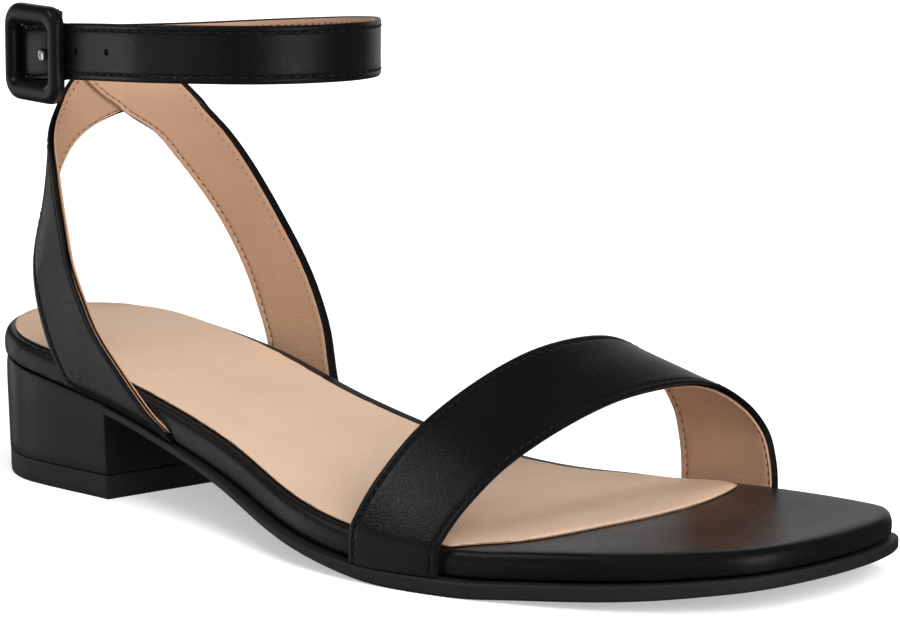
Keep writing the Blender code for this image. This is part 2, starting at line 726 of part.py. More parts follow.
def build_ankle():
    material = make_material("ankle_leather", *BLACK_LEATHER)
    upper = build_yoke(material)
    face_out(upper)
    depth = -bar_depth()
    start = buckle_point(-eye_radius() + EYE_WALL * 0.5, depth, 0.0)
    lead = buckle_point(-eye_radius() * 1.9, depth, 0.0)
    middle = STRAP_THICKNESS / 2 - strap_depth()
    enter = [buckle_point(BUCKLE_LENGTH * share, middle, 0.0) for share in (0.53, 0.28, 0.0, -0.28, -0.53)]
    plan = [start[:2], lead[:2]] + ankle_plan(ANKLE_PLAN)
    plan += [p[:2] for p in enter] + ankle_plan(TAIL_PLAN)
    path = spline_points(plan, 4, False)
    strap = ribbon("strap", path, material, taper=7)
    face_out(strap)
    combine(upper, strap, "UNION")
    half = ANKLE_WIDTH / 2
    for low, high in ((-half, -PRONG_SLOT / 2), (PRONG_SLOT / 2, half)):
        eye = tube("eye", (0.0, depth), CENTRE_BAR_RADIUS + GAP, eye_radius(), low, high, material)
        face_out(eye)
        combine(upper, eye, "UNION")
    reach = eye_radius() + 4 * GAP
    slot_cut = block("slot_cut", (-reach, reach), (depth - reach, -strap_depth() - GAP / 2),
                     (-PRONG_SLOT / 2, PRONG_SLOT / 2), material)
    combine(upper, slot_cut, "DIFFERENCE")
    hole = rod("hole", [(HOLE_OFFSET, -strap_depth() - GAP), (HOLE_OFFSET, GAP)], HOLE_RADIUS, material, 12)
    face_out(hole)
    combine(upper, hole, "DIFFERENCE")
    upper.name = "ankle_upper"
    face_out(upper)
    return upper


def rounded_rectangle(half_length, half_height, radius, steps):
    points = []
    for cx, cy, start in ((1, 1, 0.0), (-1, 1, 0.5), (-1, -1, 1.0), (1, -1, 1.5)):
        for i in range(steps + 1):
            a = math.pi * (start + 0.5 * i / steps)
            points.append((cx * (half_length - radius) + radius * math.cos(a),
                           cy * (half_height - radius) + radius * math.sin(a)))
    return points


def build_buckle():
    leather = make_material("buckle_leather", *BLACK_LEATHER)
    section = ((0.12, 0.0), (0.0, 0.22), (0.0, 0.60), (0.18, 0.90), (0.50, 1.0),
               (0.82, 0.90), (1.0, 0.60), (1.0, 0.22), (0.88, 0.0))
    rings = []
    for inset, height in section:
        d = inset * BUCKLE_BAR
        radius = max(BUCKLE_CORNER - d * 0.6, 0.0010)
        outline = rounded_rectangle(BUCKLE_LENGTH / 2 - d, BUCKLE_HEIGHT / 2 - d, radius, 4)
        rings.append([buckle_point(t, height * BUCKLE_THICKNESS, v) for t, v in outline])
    count = len(rings[0])
    total = len(rings)
    vertices = [p for ring in rings for p in ring]
    faces = []
    for r in range(total):
        s = (r + 1) % total
        for i in range(count):
            j = (i + 1) % count
            faces.append((r * count + i, r * count + j, s * count + j, s * count + i))
    frame = make_object("buckle_frame", vertices, faces, leather)
    face_out(frame)
    reach = BUCKLE_HEIGHT / 2 - BUCKLE_BAR * 0.55
    depth = -bar_depth()
    bar_end = reach + CENTRE_BAR_RADIUS * 0.4
    bar = tube("bar", (0.0, depth), 0.0, CENTRE_BAR_RADIUS, -bar_end, bar_end, leather, 16)
    face_out(bar)
    combine(frame, bar, "UNION")
    for sign in (-1, 1):
        post = []
        for t, v in ((-1, -1), (1, -1), (1, 1), (-1, 1)):
            post.append((t * CENTRE_BAR_RADIUS * 0.85, sign * reach + v * CENTRE_BAR_RADIUS * 0.85))
        vertices = [buckle_point(t, depth, v) for t, v in post]
        vertices += [buckle_point(t, BUCKLE_THICKNESS * 0.4, v) for t, v in post]
        faces = [(0, 1, 2, 3), (7, 6, 5, 4), (0, 4, 5, 1), (1, 5, 6, 2), (2, 6, 7, 3), (3, 7, 4, 0)]
        lug = make_object("lug", vertices, faces, leather)
        face_out(lug)
        combine(frame, lug, "UNION")
    frame.name = "buckle_frame"
    face_out(frame)

    ring_in = CENTRE_BAR_RADIUS + GAP
    wrap = ring_in + PRONG_RADIUS
    points = []
    for i in range(13):
        a = math.radians(-20 - 300 * i / 12)
        points.append((wrap * math.cos(a), depth + wrap * math.sin(a)))
    inner = -strap_depth()
    points += [(HOLE_OFFSET - PRONG_RADIUS * 0.9, inner - PRONG_RADIUS * 0.9), (HOLE_OFFSET, inner + GAP),
               (HOLE_OFFSET, -GAP / 3), (HOLE_OFFSET + PRONG_RADIUS, PRONG_RADIUS * 1.25),
               (HOLE_OFFSET + PRONG_RADIUS * 3.3, PRONG_RADIUS * 2.1)]
    prong = rod("buckle_prong", points, PRONG_RADIUS, make_material("prong_steel", *BRIGHT_STEEL), 10)
    face_out(prong)


def main():
    for thing in list(bpy.data.objects):
        bpy.data.objects.remove(thing, do_unlink=True)
    build_sole()
    face_out(build_vamp())
    build_ankle()
    build_buckle()
    for thing in bpy.data.objects:
        face_out(thing)


main()
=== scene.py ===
import math

import bmesh
import bpy
from mathutils import Matrix, Vector


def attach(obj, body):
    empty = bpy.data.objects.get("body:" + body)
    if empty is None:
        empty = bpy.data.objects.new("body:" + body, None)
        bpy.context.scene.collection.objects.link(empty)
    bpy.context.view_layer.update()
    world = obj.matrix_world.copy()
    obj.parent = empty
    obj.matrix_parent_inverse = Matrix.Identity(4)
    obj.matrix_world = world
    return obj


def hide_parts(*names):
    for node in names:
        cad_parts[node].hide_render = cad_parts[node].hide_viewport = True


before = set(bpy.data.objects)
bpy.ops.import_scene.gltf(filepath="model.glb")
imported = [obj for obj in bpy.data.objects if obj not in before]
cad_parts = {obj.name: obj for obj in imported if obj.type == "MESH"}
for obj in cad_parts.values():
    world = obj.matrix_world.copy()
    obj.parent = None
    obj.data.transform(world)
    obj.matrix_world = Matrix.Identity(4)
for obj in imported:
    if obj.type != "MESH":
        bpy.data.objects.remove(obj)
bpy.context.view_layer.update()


# Outsole: the thin moulded rubber sole that the shoe walks on. It is cemented under the footbed and
# stands a little proud of it along the sides and the toe.

BLACK_RUBBER = "#19191a"
RUBBER_GRAIN_MM = 0.5


def tone(code):
    """Linear colour of an sRGB hex code."""
    parts = [int(code[i:i + 2], 16) / 255 for i in (1, 3, 5)]
    return [c / 12.92 if c <= 0.04045 else ((c + 0.055) / 1.055) ** 2.4 for c in parts] + [1.0]


def add_node(tree, kind, links=(), **settings):
    """Adds a shader node, sets its sockets and properties, and links (socket, source node, output)."""
    made = tree.nodes.new(kind)
    for key, value in settings.items():
        name = key.replace("_", " ")
        if name in made.inputs:
            made.inputs[name].default_value = value
        else:
            setattr(made, key, value)
    for socket, source, output in links:
        tree.links.new(source.outputs[output], made.inputs[socket])
    return made


def new_finish(name, **sockets):
    """A material with its Principled shader's sockets set, and the object's own coordinates."""
    material = bpy.data.materials.new(name)
    material.use_nodes = True
    tree = material.node_tree
    shader = tree.nodes["Principled BSDF"]
    for key, value in sockets.items():
        shader.inputs[key.replace("_", " ")].default_value = value
    place = add_node(tree, "ShaderNodeTexCoord")
    return material, tree, shader, place


def moulded_rubber(name, code, rough, grain_mm):
    """Moulded rubber: an even satin face with a faint pebble from the mould and slight dull patches."""
    material, tree, shader, place = new_finish(name, Base_Color=tone(code), Roughness=rough)
    pebble = add_node(tree, "ShaderNodeTexNoise", [("Vector", place, "Object")],
                      Scale=1000 / grain_mm, Detail=2.0)
    patches = add_node(tree, "ShaderNodeTexNoise", [("Vector", place, "Object")], Scale=70.0, Detail=3.0)
    dull = add_node(tree, "ShaderNodeMapRange", [("Value", patches, "Fac")],
                    To_Min=rough - 0.06, To_Max=rough + 0.08)
    relief = add_node(tree, "ShaderNodeBump", [("Height", pebble, "Fac")], Strength=0.12, Distance=0.0002)
    tree.links.new(dull.outputs["Result"], shader.inputs["Roughness"])
    tree.links.new(relief.outputs["Normal"], shader.inputs["Normal"])
    return material


def only(thing):
    """Makes one object the only selected and active one."""
    bpy.ops.object.select_all(action="DESELECT")
    thing.select_set(True)
    bpy.context.view_layer.objects.active = thing


def copy_of(node, name):
    """A copy of a CAD node whose loose triangles are joined into quads."""
    only(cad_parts[node])
    bpy.ops.object.duplicate()
    piece = bpy.context.active_object
    piece.name = name
    piece.parent = None
    for key in list(piece.keys()):
        del piece[key]
    bpy.ops.object.mode_set(mode="EDIT")
    bpy.ops.mesh.select_all(action="SELECT")
    bpy.ops.mesh.remove_doubles(threshold=0.000001)
    bpy.ops.mesh.tris_convert_to_quads(face_threshold=math.radians(60), shape_threshold=math.radians(60))
    bpy.ops.object.mode_set(mode="OBJECT")
    piece.data.materials.clear()
    return piece


def crease_sharp(piece, degrees):
    """Creases the edges where the faces turn by more than an angle."""
    only(piece)
    bpy.ops.object.mode_set(mode="EDIT")
    bpy.ops.mesh.select_mode(type="EDGE")
    bpy.ops.mesh.select_all(action="DESELECT")
    bpy.ops.mesh.edges_select_sharp(sharpness=math.radians(degrees))
    bpy.ops.transform.edge_crease(value=1.0)
    bpy.ops.object.mode_set(mode="OBJECT")


def apply(piece, kind, **settings):
    """Adds a modifier with its settings and applies it."""
    only(piece)
    modifier = piece.modifiers.new(kind.lower(), kind)
    for key, value in settings.items():
        setattr(modifier, key, value)
    bpy.ops.object.modifier_apply(modifier=modifier.name)


def finish_piece(piece, materials, node, hide=True):
    """Gives a piece its materials, smooth faces, slot and place on the shoe."""
    for material in materials:
        piece.data.materials.append(material)
    only(piece)
    bpy.ops.object.shade_smooth_by_angle(angle=math.radians(40))
    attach(piece, "root")
    if hide:
        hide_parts(node)


outsole = copy_of("outsole", "moulded_outsole")
crease_sharp(outsole, 28)
apply(outsole, "SUBSURF", levels=2, render_levels=2)
apply(outsole, "BEVEL", width=0.00025, segments=2, limit_method="ANGLE", angle_limit=math.radians(28))
outsole_rubber = moulded_rubber("moulded_black_rubber", BLACK_RUBBER, 0.48, RUBBER_GRAIN_MM)
finish_piece(outsole, [outsole_rubber], "outsole")


# Footbed: a board and foam platform with black leather wrapped over its edge and its toe. The leather
# is drawn tight, and it stands up in a soft roll along the medial edge of the waist.

BLACK_LEATHER = "#060607"
BLACK_LEATHER_WORN = "#0c0c0d"
LEATHER_CELL_MM = 0.65
LEATHER_CREASE_MM = 3.0
ROLL_HEIGHT = 0.0008
ROLL_WIDTH_MM = 2.6
ROLL_AT = (0.0, 0.04, 0.08, 0.16, 0.20, 0.245)
ROLL_SHARE = (0.0, 0.3, 1.0, 0.8, 0.2, 0.0)
ORIGIN_X = 0.028
SOLE_LENGTH = 0.245
BALL_WIDTH = 0.084
HEEL_RISE = 0.0299
HEEL_ROUND = 0.027
TOE_ROUND = 0.010
TOE_FULLNESS = 2.2
OUTSOLE_THICKNESS = 0.0038
STATION = (0.00, 0.12, 0.25, 0.40, 0.55, 0.68, 0.80, 0.90, 1.00)
MEDIAL_HALF = (0.325, 0.346, 0.340, 0.295, 0.375, 0.485, 0.546, 0.585, 0.585)
LATERAL_HALF = (0.321, 0.346, 0.348, 0.390, 0.498, 0.485, 0.382, 0.242, 0.004)
UNDERSIDE = (1.000, 0.886, 0.702, 0.435, 0.134, -0.018, 0.043, 0.110, 0.220)
OUTSOLE_SHARE = (0.58, 0.58, 0.58, 0.50, 0.60, 1.00, 0.97, 0.95, 0.80)


def black_nappa(name, rough=0.27, relief=0.17):
    """Dyed and pressed leather: small pressed grain cells, faint creases, and a soft clear dressing
    that shines a little less where it was rubbed."""
    material, tree, shader, place = new_finish(name, Roughness=rough, Specular_IOR_Level=0.6)
    cells = add_node(tree, "ShaderNodeTexVoronoi", [("Vector", place, "Object")],
                     feature="DISTANCE_TO_EDGE", Scale=1000 / LEATHER_CELL_MM)
    furrow = add_node(tree, "ShaderNodeMapRange", [("Value", cells, "Distance")],
                      From_Max=0.22, To_Min=0.0, To_Max=1.0)
    crease = add_node(tree, "ShaderNodeTexNoise", [("Vector", place, "Object")],
                      Scale=1000 / LEATHER_CREASE_MM, Detail=6.0, Roughness=0.62)
    grain = add_node(tree, "ShaderNodeMath", [(0, furrow, "Result"), (1, crease, "Fac")], operation="ADD")
    bump = add_node(tree, "ShaderNodeBump", [("Height", grain, "Value")], Strength=relief, Distance=0.00018)
    rubbed = add_node(tree, "ShaderNodeTexNoise", [("Vector", place, "Object")], Scale=45.0, Detail=4.0)
    shine = add_node(tree, "ShaderNodeMapRange", [("Value", rubbed, "Fac")],
                     From_Min=0.3, From_Max=0.7, To_Min=rough - 0.05, To_Max=rough + 0.07)
    colour = add_node(tree, "ShaderNodeMix", data_type="RGBA")
    tree.links.new(rubbed.outputs["Fac"], colour.inputs[0])
    colour.inputs[6].default_value = tone(BLACK_LEATHER)
    colour.inputs[7].default_value = tone(BLACK_LEATHER_WORN)
    tree.links.new(colour.outputs[2], shader.inputs["Base Color"])
    tree.links.new(shine.outputs["Result"], shader.inputs["Roughness"])
    tree.links.new(bump.outputs["Normal"], shader.inputs["Normal"])
    return material


def smooth(knots, values, at):
    """Smooth curve through a table's values."""
    at = min(max(at, knots[0]), knots[-1])
    last = len(knots) - 1
    k = 0
    while k < last - 1 and at > knots[k + 1]:
        k += 1

    def slope(i):
        lo, hi = max(i - 1, 0), min(i + 1, last)
        return (values[hi] - values[lo]) / (knots[hi] - knots[lo])

    span = knots[k + 1] - knots[k]
    t = (at - knots[k]) / span
    return ((2 * t ** 3 - 3 * t ** 2 + 1) * values[k] + (t ** 3 - 2 * t ** 2 + t) * span * slope(k)
            + (3 * t ** 2 - 2 * t ** 3) * values[k + 1] + (t ** 3 - t ** 2) * span * slope(k + 1))


def side_y(x, medial):
    """Edge of the footbed in plan on one side."""
    share = x / SOLE_LENGTH
    m = smooth(STATION, MEDIAL_HALF, share) * BALL_WIDTH
    n = -smooth(STATION, LATERAL_HALF, share) * BALL_WIDTH
    middle = 0.5 * (m + n)
    if x < HEEL_ROUND:
        return (m if medial else n) * math.sqrt(max(1 - (1 - x / HEEL_ROUND) ** 2, 0))
    if x > SOLE_LENGTH - TOE_ROUND:
        t = (x - SOLE_LENGTH + TOE_ROUND) / TOE_ROUND
        return middle + ((m if medial else n) - middle) * max(1 - t ** TOE_FULLNESS, 0) ** (1 / TOE_FULLNESS)
    return m if medial else n


def seam_z(x):
    """Height where the footbed meets the outsole or the heel."""
    share = x / SOLE_LENGTH
    low = max(smooth(STATION, UNDERSIDE, share) * HEEL_RISE, 0.0)
    return low + smooth(STATION, OUTSOLE_SHARE, share) * OUTSOLE_THICKNESS


def medial_edge(x):
    """Medial edge of the footbed at a place along it, held to its own length."""
    return side_y(min(max(x, 0.0), SOLE_LENGTH), True)


footbed = copy_of("footbed", "wrapped_footbed")
crease_sharp(footbed, 42)
apply(footbed, "SUBSURF", levels=2, render_levels=2)
for vertex in footbed.data.vertices:
    x = vertex.co.x + ORIGIN_X
    inside_mm = (medial_edge(x) - vertex.co.y) * 1000
    if vertex.normal.z > 0.1 and 0 < inside_mm < ROLL_WIDTH_MM:
        rise = ROLL_HEIGHT * smooth(ROLL_AT, ROLL_SHARE, x)
        vertex.co.z += rise * math.sin(math.pi * inside_mm / ROLL_WIDTH_MM)
finish_piece(footbed, [black_nappa("pressed_black_nappa_footbed")], "footbed")


# Sock: the tan lining leather glued on the footbed, cut with a shallow arc behind the toes. It lies
# almost flush, its upright cut edge is painted darker as painted shade where it meets the footbed, and
# it leaves a margin along the medial waist.

SOCK_TAN = "#c9ae97"
SOCK_TAN_DARK = "#bc9f88"
# Colour of the sock's upright cut edge: darkened as painted shade where the sock meets the footbed.
SOCK_EDGE_SHADE = "#8f7660"
SOCK_SINK = 0.00035
SOCK_THINNING = 0.00010
MEDIAL_MARGIN = 0.0021
MARGIN_STARTS = 0.3
MARGIN_AT = (0.0, 0.03, 0.075, 0.17, 0.20, 0.245)
MARGIN_SHARE = (0.0, 0.1, 1.0, 1.0, 0.3, 0.0)


def tan_lining(name, code, dark, cell_mm=0.7, rough=0.58, relief=0.25):
    """Lining leather: matte, with small soft pores and a slightly uneven dye."""
    material, tree, shader, place = new_finish(name, Roughness=rough, Specular_IOR_Level=0.4)
    pores = add_node(tree, "ShaderNodeTexVoronoi", [("Vector", place, "Object")],
                     Scale=1000 / cell_mm, Randomness=1.0)
    crease = add_node(tree, "ShaderNodeTexNoise", [("Vector", place, "Object")],
                      Scale=420.0, Detail=5.0, Roughness=0.6)
    grain = add_node(tree, "ShaderNodeMath", [(0, pores, "Distance"), (1, crease, "Fac")], operation="ADD")
    bump = add_node(tree, "ShaderNodeBump", [("Height", grain, "Value")], Strength=relief, Distance=0.0002)
    dye = add_node(tree, "ShaderNodeTexNoise", [("Vector", place, "Object")],
                   Scale=60.0, Detail=6.0, Roughness=0.65)
    colour = add_node(tree, "ShaderNodeMix", data_type="RGBA")
    tree.links.new(dye.outputs["Fac"], colour.inputs[0])
    colour.inputs[6].default_value = tone(code)
    colour.inputs[7].default_value = tone(dark)
    tree.links.new(colour.outputs[2], shader.inputs["Base Color"])
    tree.links.new(bump.outputs["Normal"], shader.inputs["Normal"])
    return material


def cut_leather(name, code):
    """The raw cut edge of lining leather: pale, matte and fibrous."""
    material, tree, shader, place = new_finish(name, Base_Color=tone(code), Roughness=0.85)
    fibre = add_node(tree, "ShaderNodeTexNoise", [("Vector", place, "Object")], Scale=1500.0, Detail=3.0)
    bump = add_node(tree, "ShaderNodeBump", [("Height", fibre, "Fac")], Strength=0.3, Distance=0.0001)
    tree.links.new(bump.outputs["Normal"], shader.inputs["Normal"])
    return material


def paint_steep(piece, index, limit=0.5):
    """Gives the faces that stand upright another material slot."""
    for face in piece.data.polygons:
        if abs(face.normal.z) < limit:
            face.material_index = index


sock = copy_of("sock", "tan_sock")
crease_sharp(sock, 40)
apply(sock, "SUBSURF", levels=2, render_levels=2)
for vertex in sock.data.vertices:
    x = vertex.co.x + ORIGIN_X
    vertex.co.z -= SOCK_SINK + SOCK_THINNING * min(max(vertex.normal.z * 2, -1), 1)
    across = vertex.co.y / max(medial_edge(x), 0.001)
    near = min(max((across - MARGIN_STARTS) / (1 - MARGIN_STARTS), 0.0), 1.0)
    vertex.co.y -= MEDIAL_MARGIN * smooth(MARGIN_AT, MARGIN_SHARE, x) * near
finish_piece(sock, [tan_lining("tan_sock_lining", SOCK_TAN, SOCK_TAN_DARK),
                    cut_leather("cut_sock_edge_painted_shade", SOCK_EDGE_SHADE)], "sock")
# The upright faces take the darker edge finish: painted shade along the join with the footbed.
paint_steep(sock, 1)


# Heel block: a low block with black leather wrapped round it and glued under the footbed.

heel_block = copy_of("heel_block", "wrapped_heel_block")
crease_sharp(heel_block, 45)
apply(heel_block, "SUBSURF", levels=2, render_levels=2)
apply(heel_block, "BEVEL", width=0.0008, segments=3, limit_method="ANGLE", angle_limit=math.radians(45))
finish_piece(heel_block, [black_nappa("pressed_black_nappa_heel", rough=0.36, relief=0.08)], "heel_block")


# Top lift: the hard rubber layer nailed under the heel, which takes the wear.

LIFT_RUBBER = "#151515"

top_lift = copy_of("top_lift", "rubber_top_lift")
crease_sharp(top_lift, 45)
apply(top_lift, "SUBSURF", levels=2, render_levels=2)
apply(top_lift, "BEVEL", width=0.0004, segments=2, limit_method="ANGLE", angle_limit=math.radians(45))
finish_piece(top_lift, [moulded_rubber("moulded_black_top_lift", LIFT_RUBBER, 0.50, 0.4)], "top_lift")


# Forefoot strap: black leather turned over at both edges, stitched near each edge to a tan lining
# whose pale cut edge shows. Its ends are lasted under the footbed.

GAP = 0.0003
STRAP_THICKNESS = 0.0020
SKIN = 0.00155
LINING = 0.00042
STITCH_IN = 0.0017
STITCH_PITCH = 0.0022
STITCH_LENGTH = 0.00165
THREAD_RADIUS = 0.00028
DOT_IN = 0.0017
DOT_LENGTH = 0.00085
DOT_RADIUS = 0.00017
VAMP_REAR = (0.1520, 0.1800, 0.0470)
VAMP_FRONT = (0.1760, 0.2052, 0.0372)
ARCH_ACROSS = (0.0, 0.0, 0.020, 0.085, 0.20, 0.36, 0.53, 0.70, 0.81, 0.905, 0.965, 0.990, 1.0, 1.0)
ARCH_RISE = (0.0, 0.14, 0.240, 0.420, 0.64, 0.83, 0.96, 1.00, 0.95, 0.800, 0.620, 0.440, 0.25, 0.0)
CUT_EDGE = "#fbe0b6"
LINING_TAN = "#b59177"
LINING_TAN_DARK = "#a37f65"
BROWN_THREAD = "#4b3020"
BLACK_THREAD = "#121212"


def vamp_face(u, v):
    """Outer face of the forefoot strap: u from lateral to medial, v from the rear edge to the front."""
    knots = [k / (len(ARCH_ACROSS) - 1) for k in range(len(ARCH_ACROSS))]
    across = min(max(smooth(knots, ARCH_ACROSS, u), 0.0), 1.0)
    rise = max(smooth(knots, ARCH_RISE, u), 0.0)
    lateral_x, medial_x, height = (a + (b - a) * v for a, b in zip(VAMP_REAR, VAMP_FRONT))
    reach = GAP + STRAP_THICKNESS
    lateral_y = side_y(lateral_x, False) - reach
    medial_y = side_y(medial_x, True) + reach
    foot = seam_z(lateral_x) * (1 - across) + seam_z(medial_x) * across + GAP
    return Vector((lateral_x + (medial_x - lateral_x) * across - ORIGIN_X,
                   lateral_y + (medial_y - lateral_y) * across, foot + height * rise))


def outer_sign(face, centre):
    """Which way round a face's normal points away from a centre."""
    return 1 if outward(face, 0.5, 0.5, 1).dot(face(0.5, 0.5) - Vector(centre)) > 0 else -1


def outward(face, u, v, sign):
    """Unit normal of a strap's face, by small steps either way."""
    step = 0.012
    along = face(min(u + step, 1.0), v) - face(max(u - step, 0.0), v)
    across = face(u, min(v + step, 1.0)) - face(u, max(v - step, 0.0))
    return along.cross(across).normalized() * sign


def turned_edge_rise(distance, inner):
    """How far a turned and stitched edge stands out or sinks in, by distance from the edge, for the
    outer leather or for the lining behind it."""
    table = (0.0, 0.0004, 0.0009, STITCH_IN - 0.0003, STITCH_IN, STITCH_IN + 0.0003, 0.0026, 0.0040)
    rises = (-0.00024, 0.0, 0.00010, 0.00003, -0.00024, -0.00002, 0.00006, 0.0)
    if inner:
        rises = (-0.00020, -0.00012, -0.00008, -0.00003, 0.00018, 0.00002, -0.00006, 0.0)
    return smooth(table, rises, distance)


def edge_shares(width, insets, middle_rows):
    """Shares across a strap, close together at both edges where the stitching lies."""
    marks = (0.0004, 0.0009, STITCH_IN - 0.0003, STITCH_IN, STITCH_IN + 0.0003, 0.0026, 0.0040)
    low, high = ([inset / width] + [d / width for d in marks if d > inset + 0.0002] for inset in insets)
    first, last = low[-1], 1 - high[-1]
    inner = [first + (last - first) * k / middle_rows for k in range(1, middle_rows)]
    return low + inner + [1 - d for d in reversed(high)]


def lay_sheet(name, face, sign, columns, middle_rows, depth, insets, inner):
    """A grid laid on a strap's face at a depth, with its edges turned and its stitch line drawn in; an
    inner one is a lining and faces the foot."""
    shares = []
    for i in range(columns + 1):
        u = i / columns
        width = sum((face(u, (k + 1) / 4) - face(u, k / 4)).length for k in range(4))
        shares.append((u, width, edge_shares(width, insets, middle_rows)))
    rows = len(shares[0][2]) - 1
    bpy.ops.object.select_all(action="DESELECT")
    bpy.ops.mesh.primitive_grid_add(x_subdivisions=columns, y_subdivisions=rows, size=2)
    sheet = bpy.context.active_object
    sheet.name = name
    for vertex in sheet.data.vertices:
        u, width, across = shares[round((vertex.co.x + 1) / 2 * columns)]
        v = across[round((vertex.co.y + 1) / 2 * rows)]
        rise = turned_edge_rise(min(v, 1 - v) * width, inner)
        vertex.co = face(u, v) + outward(face, u, v, sign) * (rise - depth)
    sheet.data.update()
    out = outward(face, 0.5, 0.5, sign) * (-1 if inner else 1)
    centre = min(sheet.data.polygons, key=lambda p: (p.center - face(0.5, 0.5)).length)
    if centre.normal.dot(out) < 0:
        only(sheet)
        bpy.ops.object.mode_set(mode="EDIT")
        bpy.ops.mesh.select_all(action="SELECT")
        bpy.ops.mesh.flip_normals()
        bpy.ops.object.mode_set(mode="OBJECT")
    return sheet


def leather_strap(name, face, sign, columns, middle_rows):
    """The black outer leather of a strap, with round turned edges."""
    strap = lay_sheet(name, face, sign, columns, middle_rows, 0.0, (0.0, 0.0), False)
    apply(strap, "SOLIDIFY", thickness=SKIN, offset=-1.0)
    apply(strap, "BEVEL", width=0.00045, segments=3, limit_method="ANGLE", angle_limit=math.radians(50))
    return strap


def strap_lining(name, face, sign, columns, middle_rows, insets):
    """The tan lining of a strap, set in from its two edges, with its cut edge as a second material."""
    lining = lay_sheet(name, face, sign, columns, middle_rows, SKIN + LINING, insets, True)
    apply(lining, "SOLIDIFY", thickness=LINING + 0.0001, offset=-1.0, material_offset_rim=1)
    return lining


def one_stitch():
    """One short stitch of thread, lying along X."""
    bpy.ops.object.select_all(action="DESELECT")
    bpy.ops.mesh.primitive_uv_sphere_add(segments=6, ring_count=6, radius=1.0)
    stitch = bpy.context.active_object
    bpy.ops.object.mode_set(mode="EDIT")
    bpy.ops.mesh.select_all(action="SELECT")
    bpy.ops.transform.rotate(value=math.radians(90), orient_axis="Y", center_override=(0, 0, 0))
    bpy.ops.object.mode_set(mode="OBJECT")
    return stitch


def sew(name, rows, length, radius, pitch):
    """Stitches along rows of (point, outward direction), joined as one piece."""
    pattern = one_stitch()
    joined = bmesh.new()
    for row in rows:
        travelled, due = 0.0, pitch / 2
        for (a, out), (b, _) in zip(row, row[1:]):
            step = (b - a).length
            while step > 0 and travelled + step >= due:
                point = a.lerp(b, (due - travelled) / step)
                along = (b - a).normalized()
                side = out.cross(along).normalized()
                top = along.cross(side)
                turn = Matrix((along * length / 2, side * radius, top * radius)).transposed().to_4x4()
                turn.translation = point
                start = len(joined.verts)
                joined.from_mesh(pattern.data)
                joined.verts.ensure_lookup_table()
                for vertex in joined.verts[start:]:
                    vertex.co = turn @ vertex.co
                due += pitch
            travelled += step
    bpy.data.objects.remove(pattern)
    mesh = bpy.data.meshes.new(name)
    joined.to_mesh(mesh)
    joined.free()
    thread = bpy.data.objects.new(name, mesh)
    bpy.context.scene.collection.objects.link(thread)
    return thread


def stitch_line(face, sign, near_start, rise, count=160, lo=0.0, hi=1.0, distance=STITCH_IN):
    """Points and outward directions along one edge's stitch line."""
    line = []
    for k in range(count + 1):
        u = lo + (hi - lo) * k / count
        width = sum((face(u, (j + 1) / 4) - face(u, j / 4)).length for j in range(4))
        v = distance / width if near_start else 1 - distance / width
        out = outward(face, u, v, sign)
        line.append((face(u, v) + out * rise, out if rise > -0.0005 else -out))
    return line


def thread_finish(name, code):
    """Waxed polyester thread: a fine twist and a dull sheen."""
    material, tree, shader, place = new_finish(name, Base_Color=tone(code), Roughness=0.55)
    twist = add_node(tree, "ShaderNodeTexNoise", [("Vector", place, "Object")], Scale=3000.0, Detail=1.0)
    bump = add_node(tree, "ShaderNodeBump", [("Height", twist, "Fac")], Strength=0.3, Distance=0.0001)
    tree.links.new(bump.outputs["Normal"], shader.inputs["Normal"])
    return material


black_leather = black_nappa("pressed_black_nappa")
edge_finish = cut_leather("cut_lining_edge", CUT_EDGE)
lining_finish = tan_lining("tan_strap_lining", LINING_TAN, LINING_TAN_DARK, relief=0.30)
black_thread = thread_finish("waxed_black_thread", BLACK_THREAD)
brown_thread = thread_finish("waxed_brown_thread", BROWN_THREAD)
INNER = -(SKIN + LINING - 0.00005)

vamp_sign = outer_sign(vamp_face, (0.15, 0.0, 0.0))
vamp = leather_strap("vamp_leather", vamp_face, vamp_sign, 120, 14)
finish_piece(vamp, [black_leather], "vamp_strap")
vamp_inside = strap_lining("vamp_lining", vamp_face, vamp_sign, 120, 12, (0.0003, 0.0013))
finish_piece(vamp_inside, [lining_finish, edge_finish], "vamp_strap", hide=False)
vamp_rows = [stitch_line(vamp_face, vamp_sign, edge, -0.00005) for edge in (True, False)]
vamp_thread = sew("vamp_stitches", vamp_rows, STITCH_LENGTH, THREAD_RADIUS, STITCH_PITCH)
finish_piece(vamp_thread, [black_thread], "vamp_strap", hide=False)
vamp_inner_rows = [stitch_line(vamp_face, vamp_sign, edge, INNER, distance=DOT_IN) for edge in (True, False)]
vamp_inner_thread = sew("vamp_lining_stitches", vamp_inner_rows, DOT_LENGTH, DOT_RADIUS, STITCH_PITCH)
finish_piece(vamp_inner_thread, [brown_thread], "vamp_strap", hide=False)


# Heel straps: two turned and lined leather straps that rise from the sides of the heel and cross
# behind the ankle, where the lateral one lies outside the medial one and both are sewn together.

ANKLE_WIDTH = 0.0140
ANKLE_TOP = 0.1192
ANKLE_SLOPE_FORWARD = 0.065
ANKLE_SLOPE_MEDIAL = -0.045
ANKLE_TWIST = 0.50
ANKLE_CROWN = 0.42
LOOP_BACK = 0.0213
LOOP_LENGTH = 0.0922
LOOP_WIDTH = 0.0718
CENTRE_X = LOOP_BACK + 0.4414 * LOOP_LENGTH
TAB_OVERLAP = 0.0095
YOKE_EASE = 2.5
YOKE_FOOT = 0.05
FOOT_TUCK = 0.0019
CROSSING = 0.88
DIP_LENGTH = 0.10
DIP_SKEW = 0.06
DIP_DEPTH = SKIN * 0.85
TOP_SHARE = 1.0 + TAB_OVERLAP / (ANKLE_TOP - ANKLE_WIDTH - HEEL_RISE)
YOKE_SHARE = (0.00, 0.10, 0.20, 0.30, 0.40, 0.50, 0.60, 0.70, 0.80, 0.88)
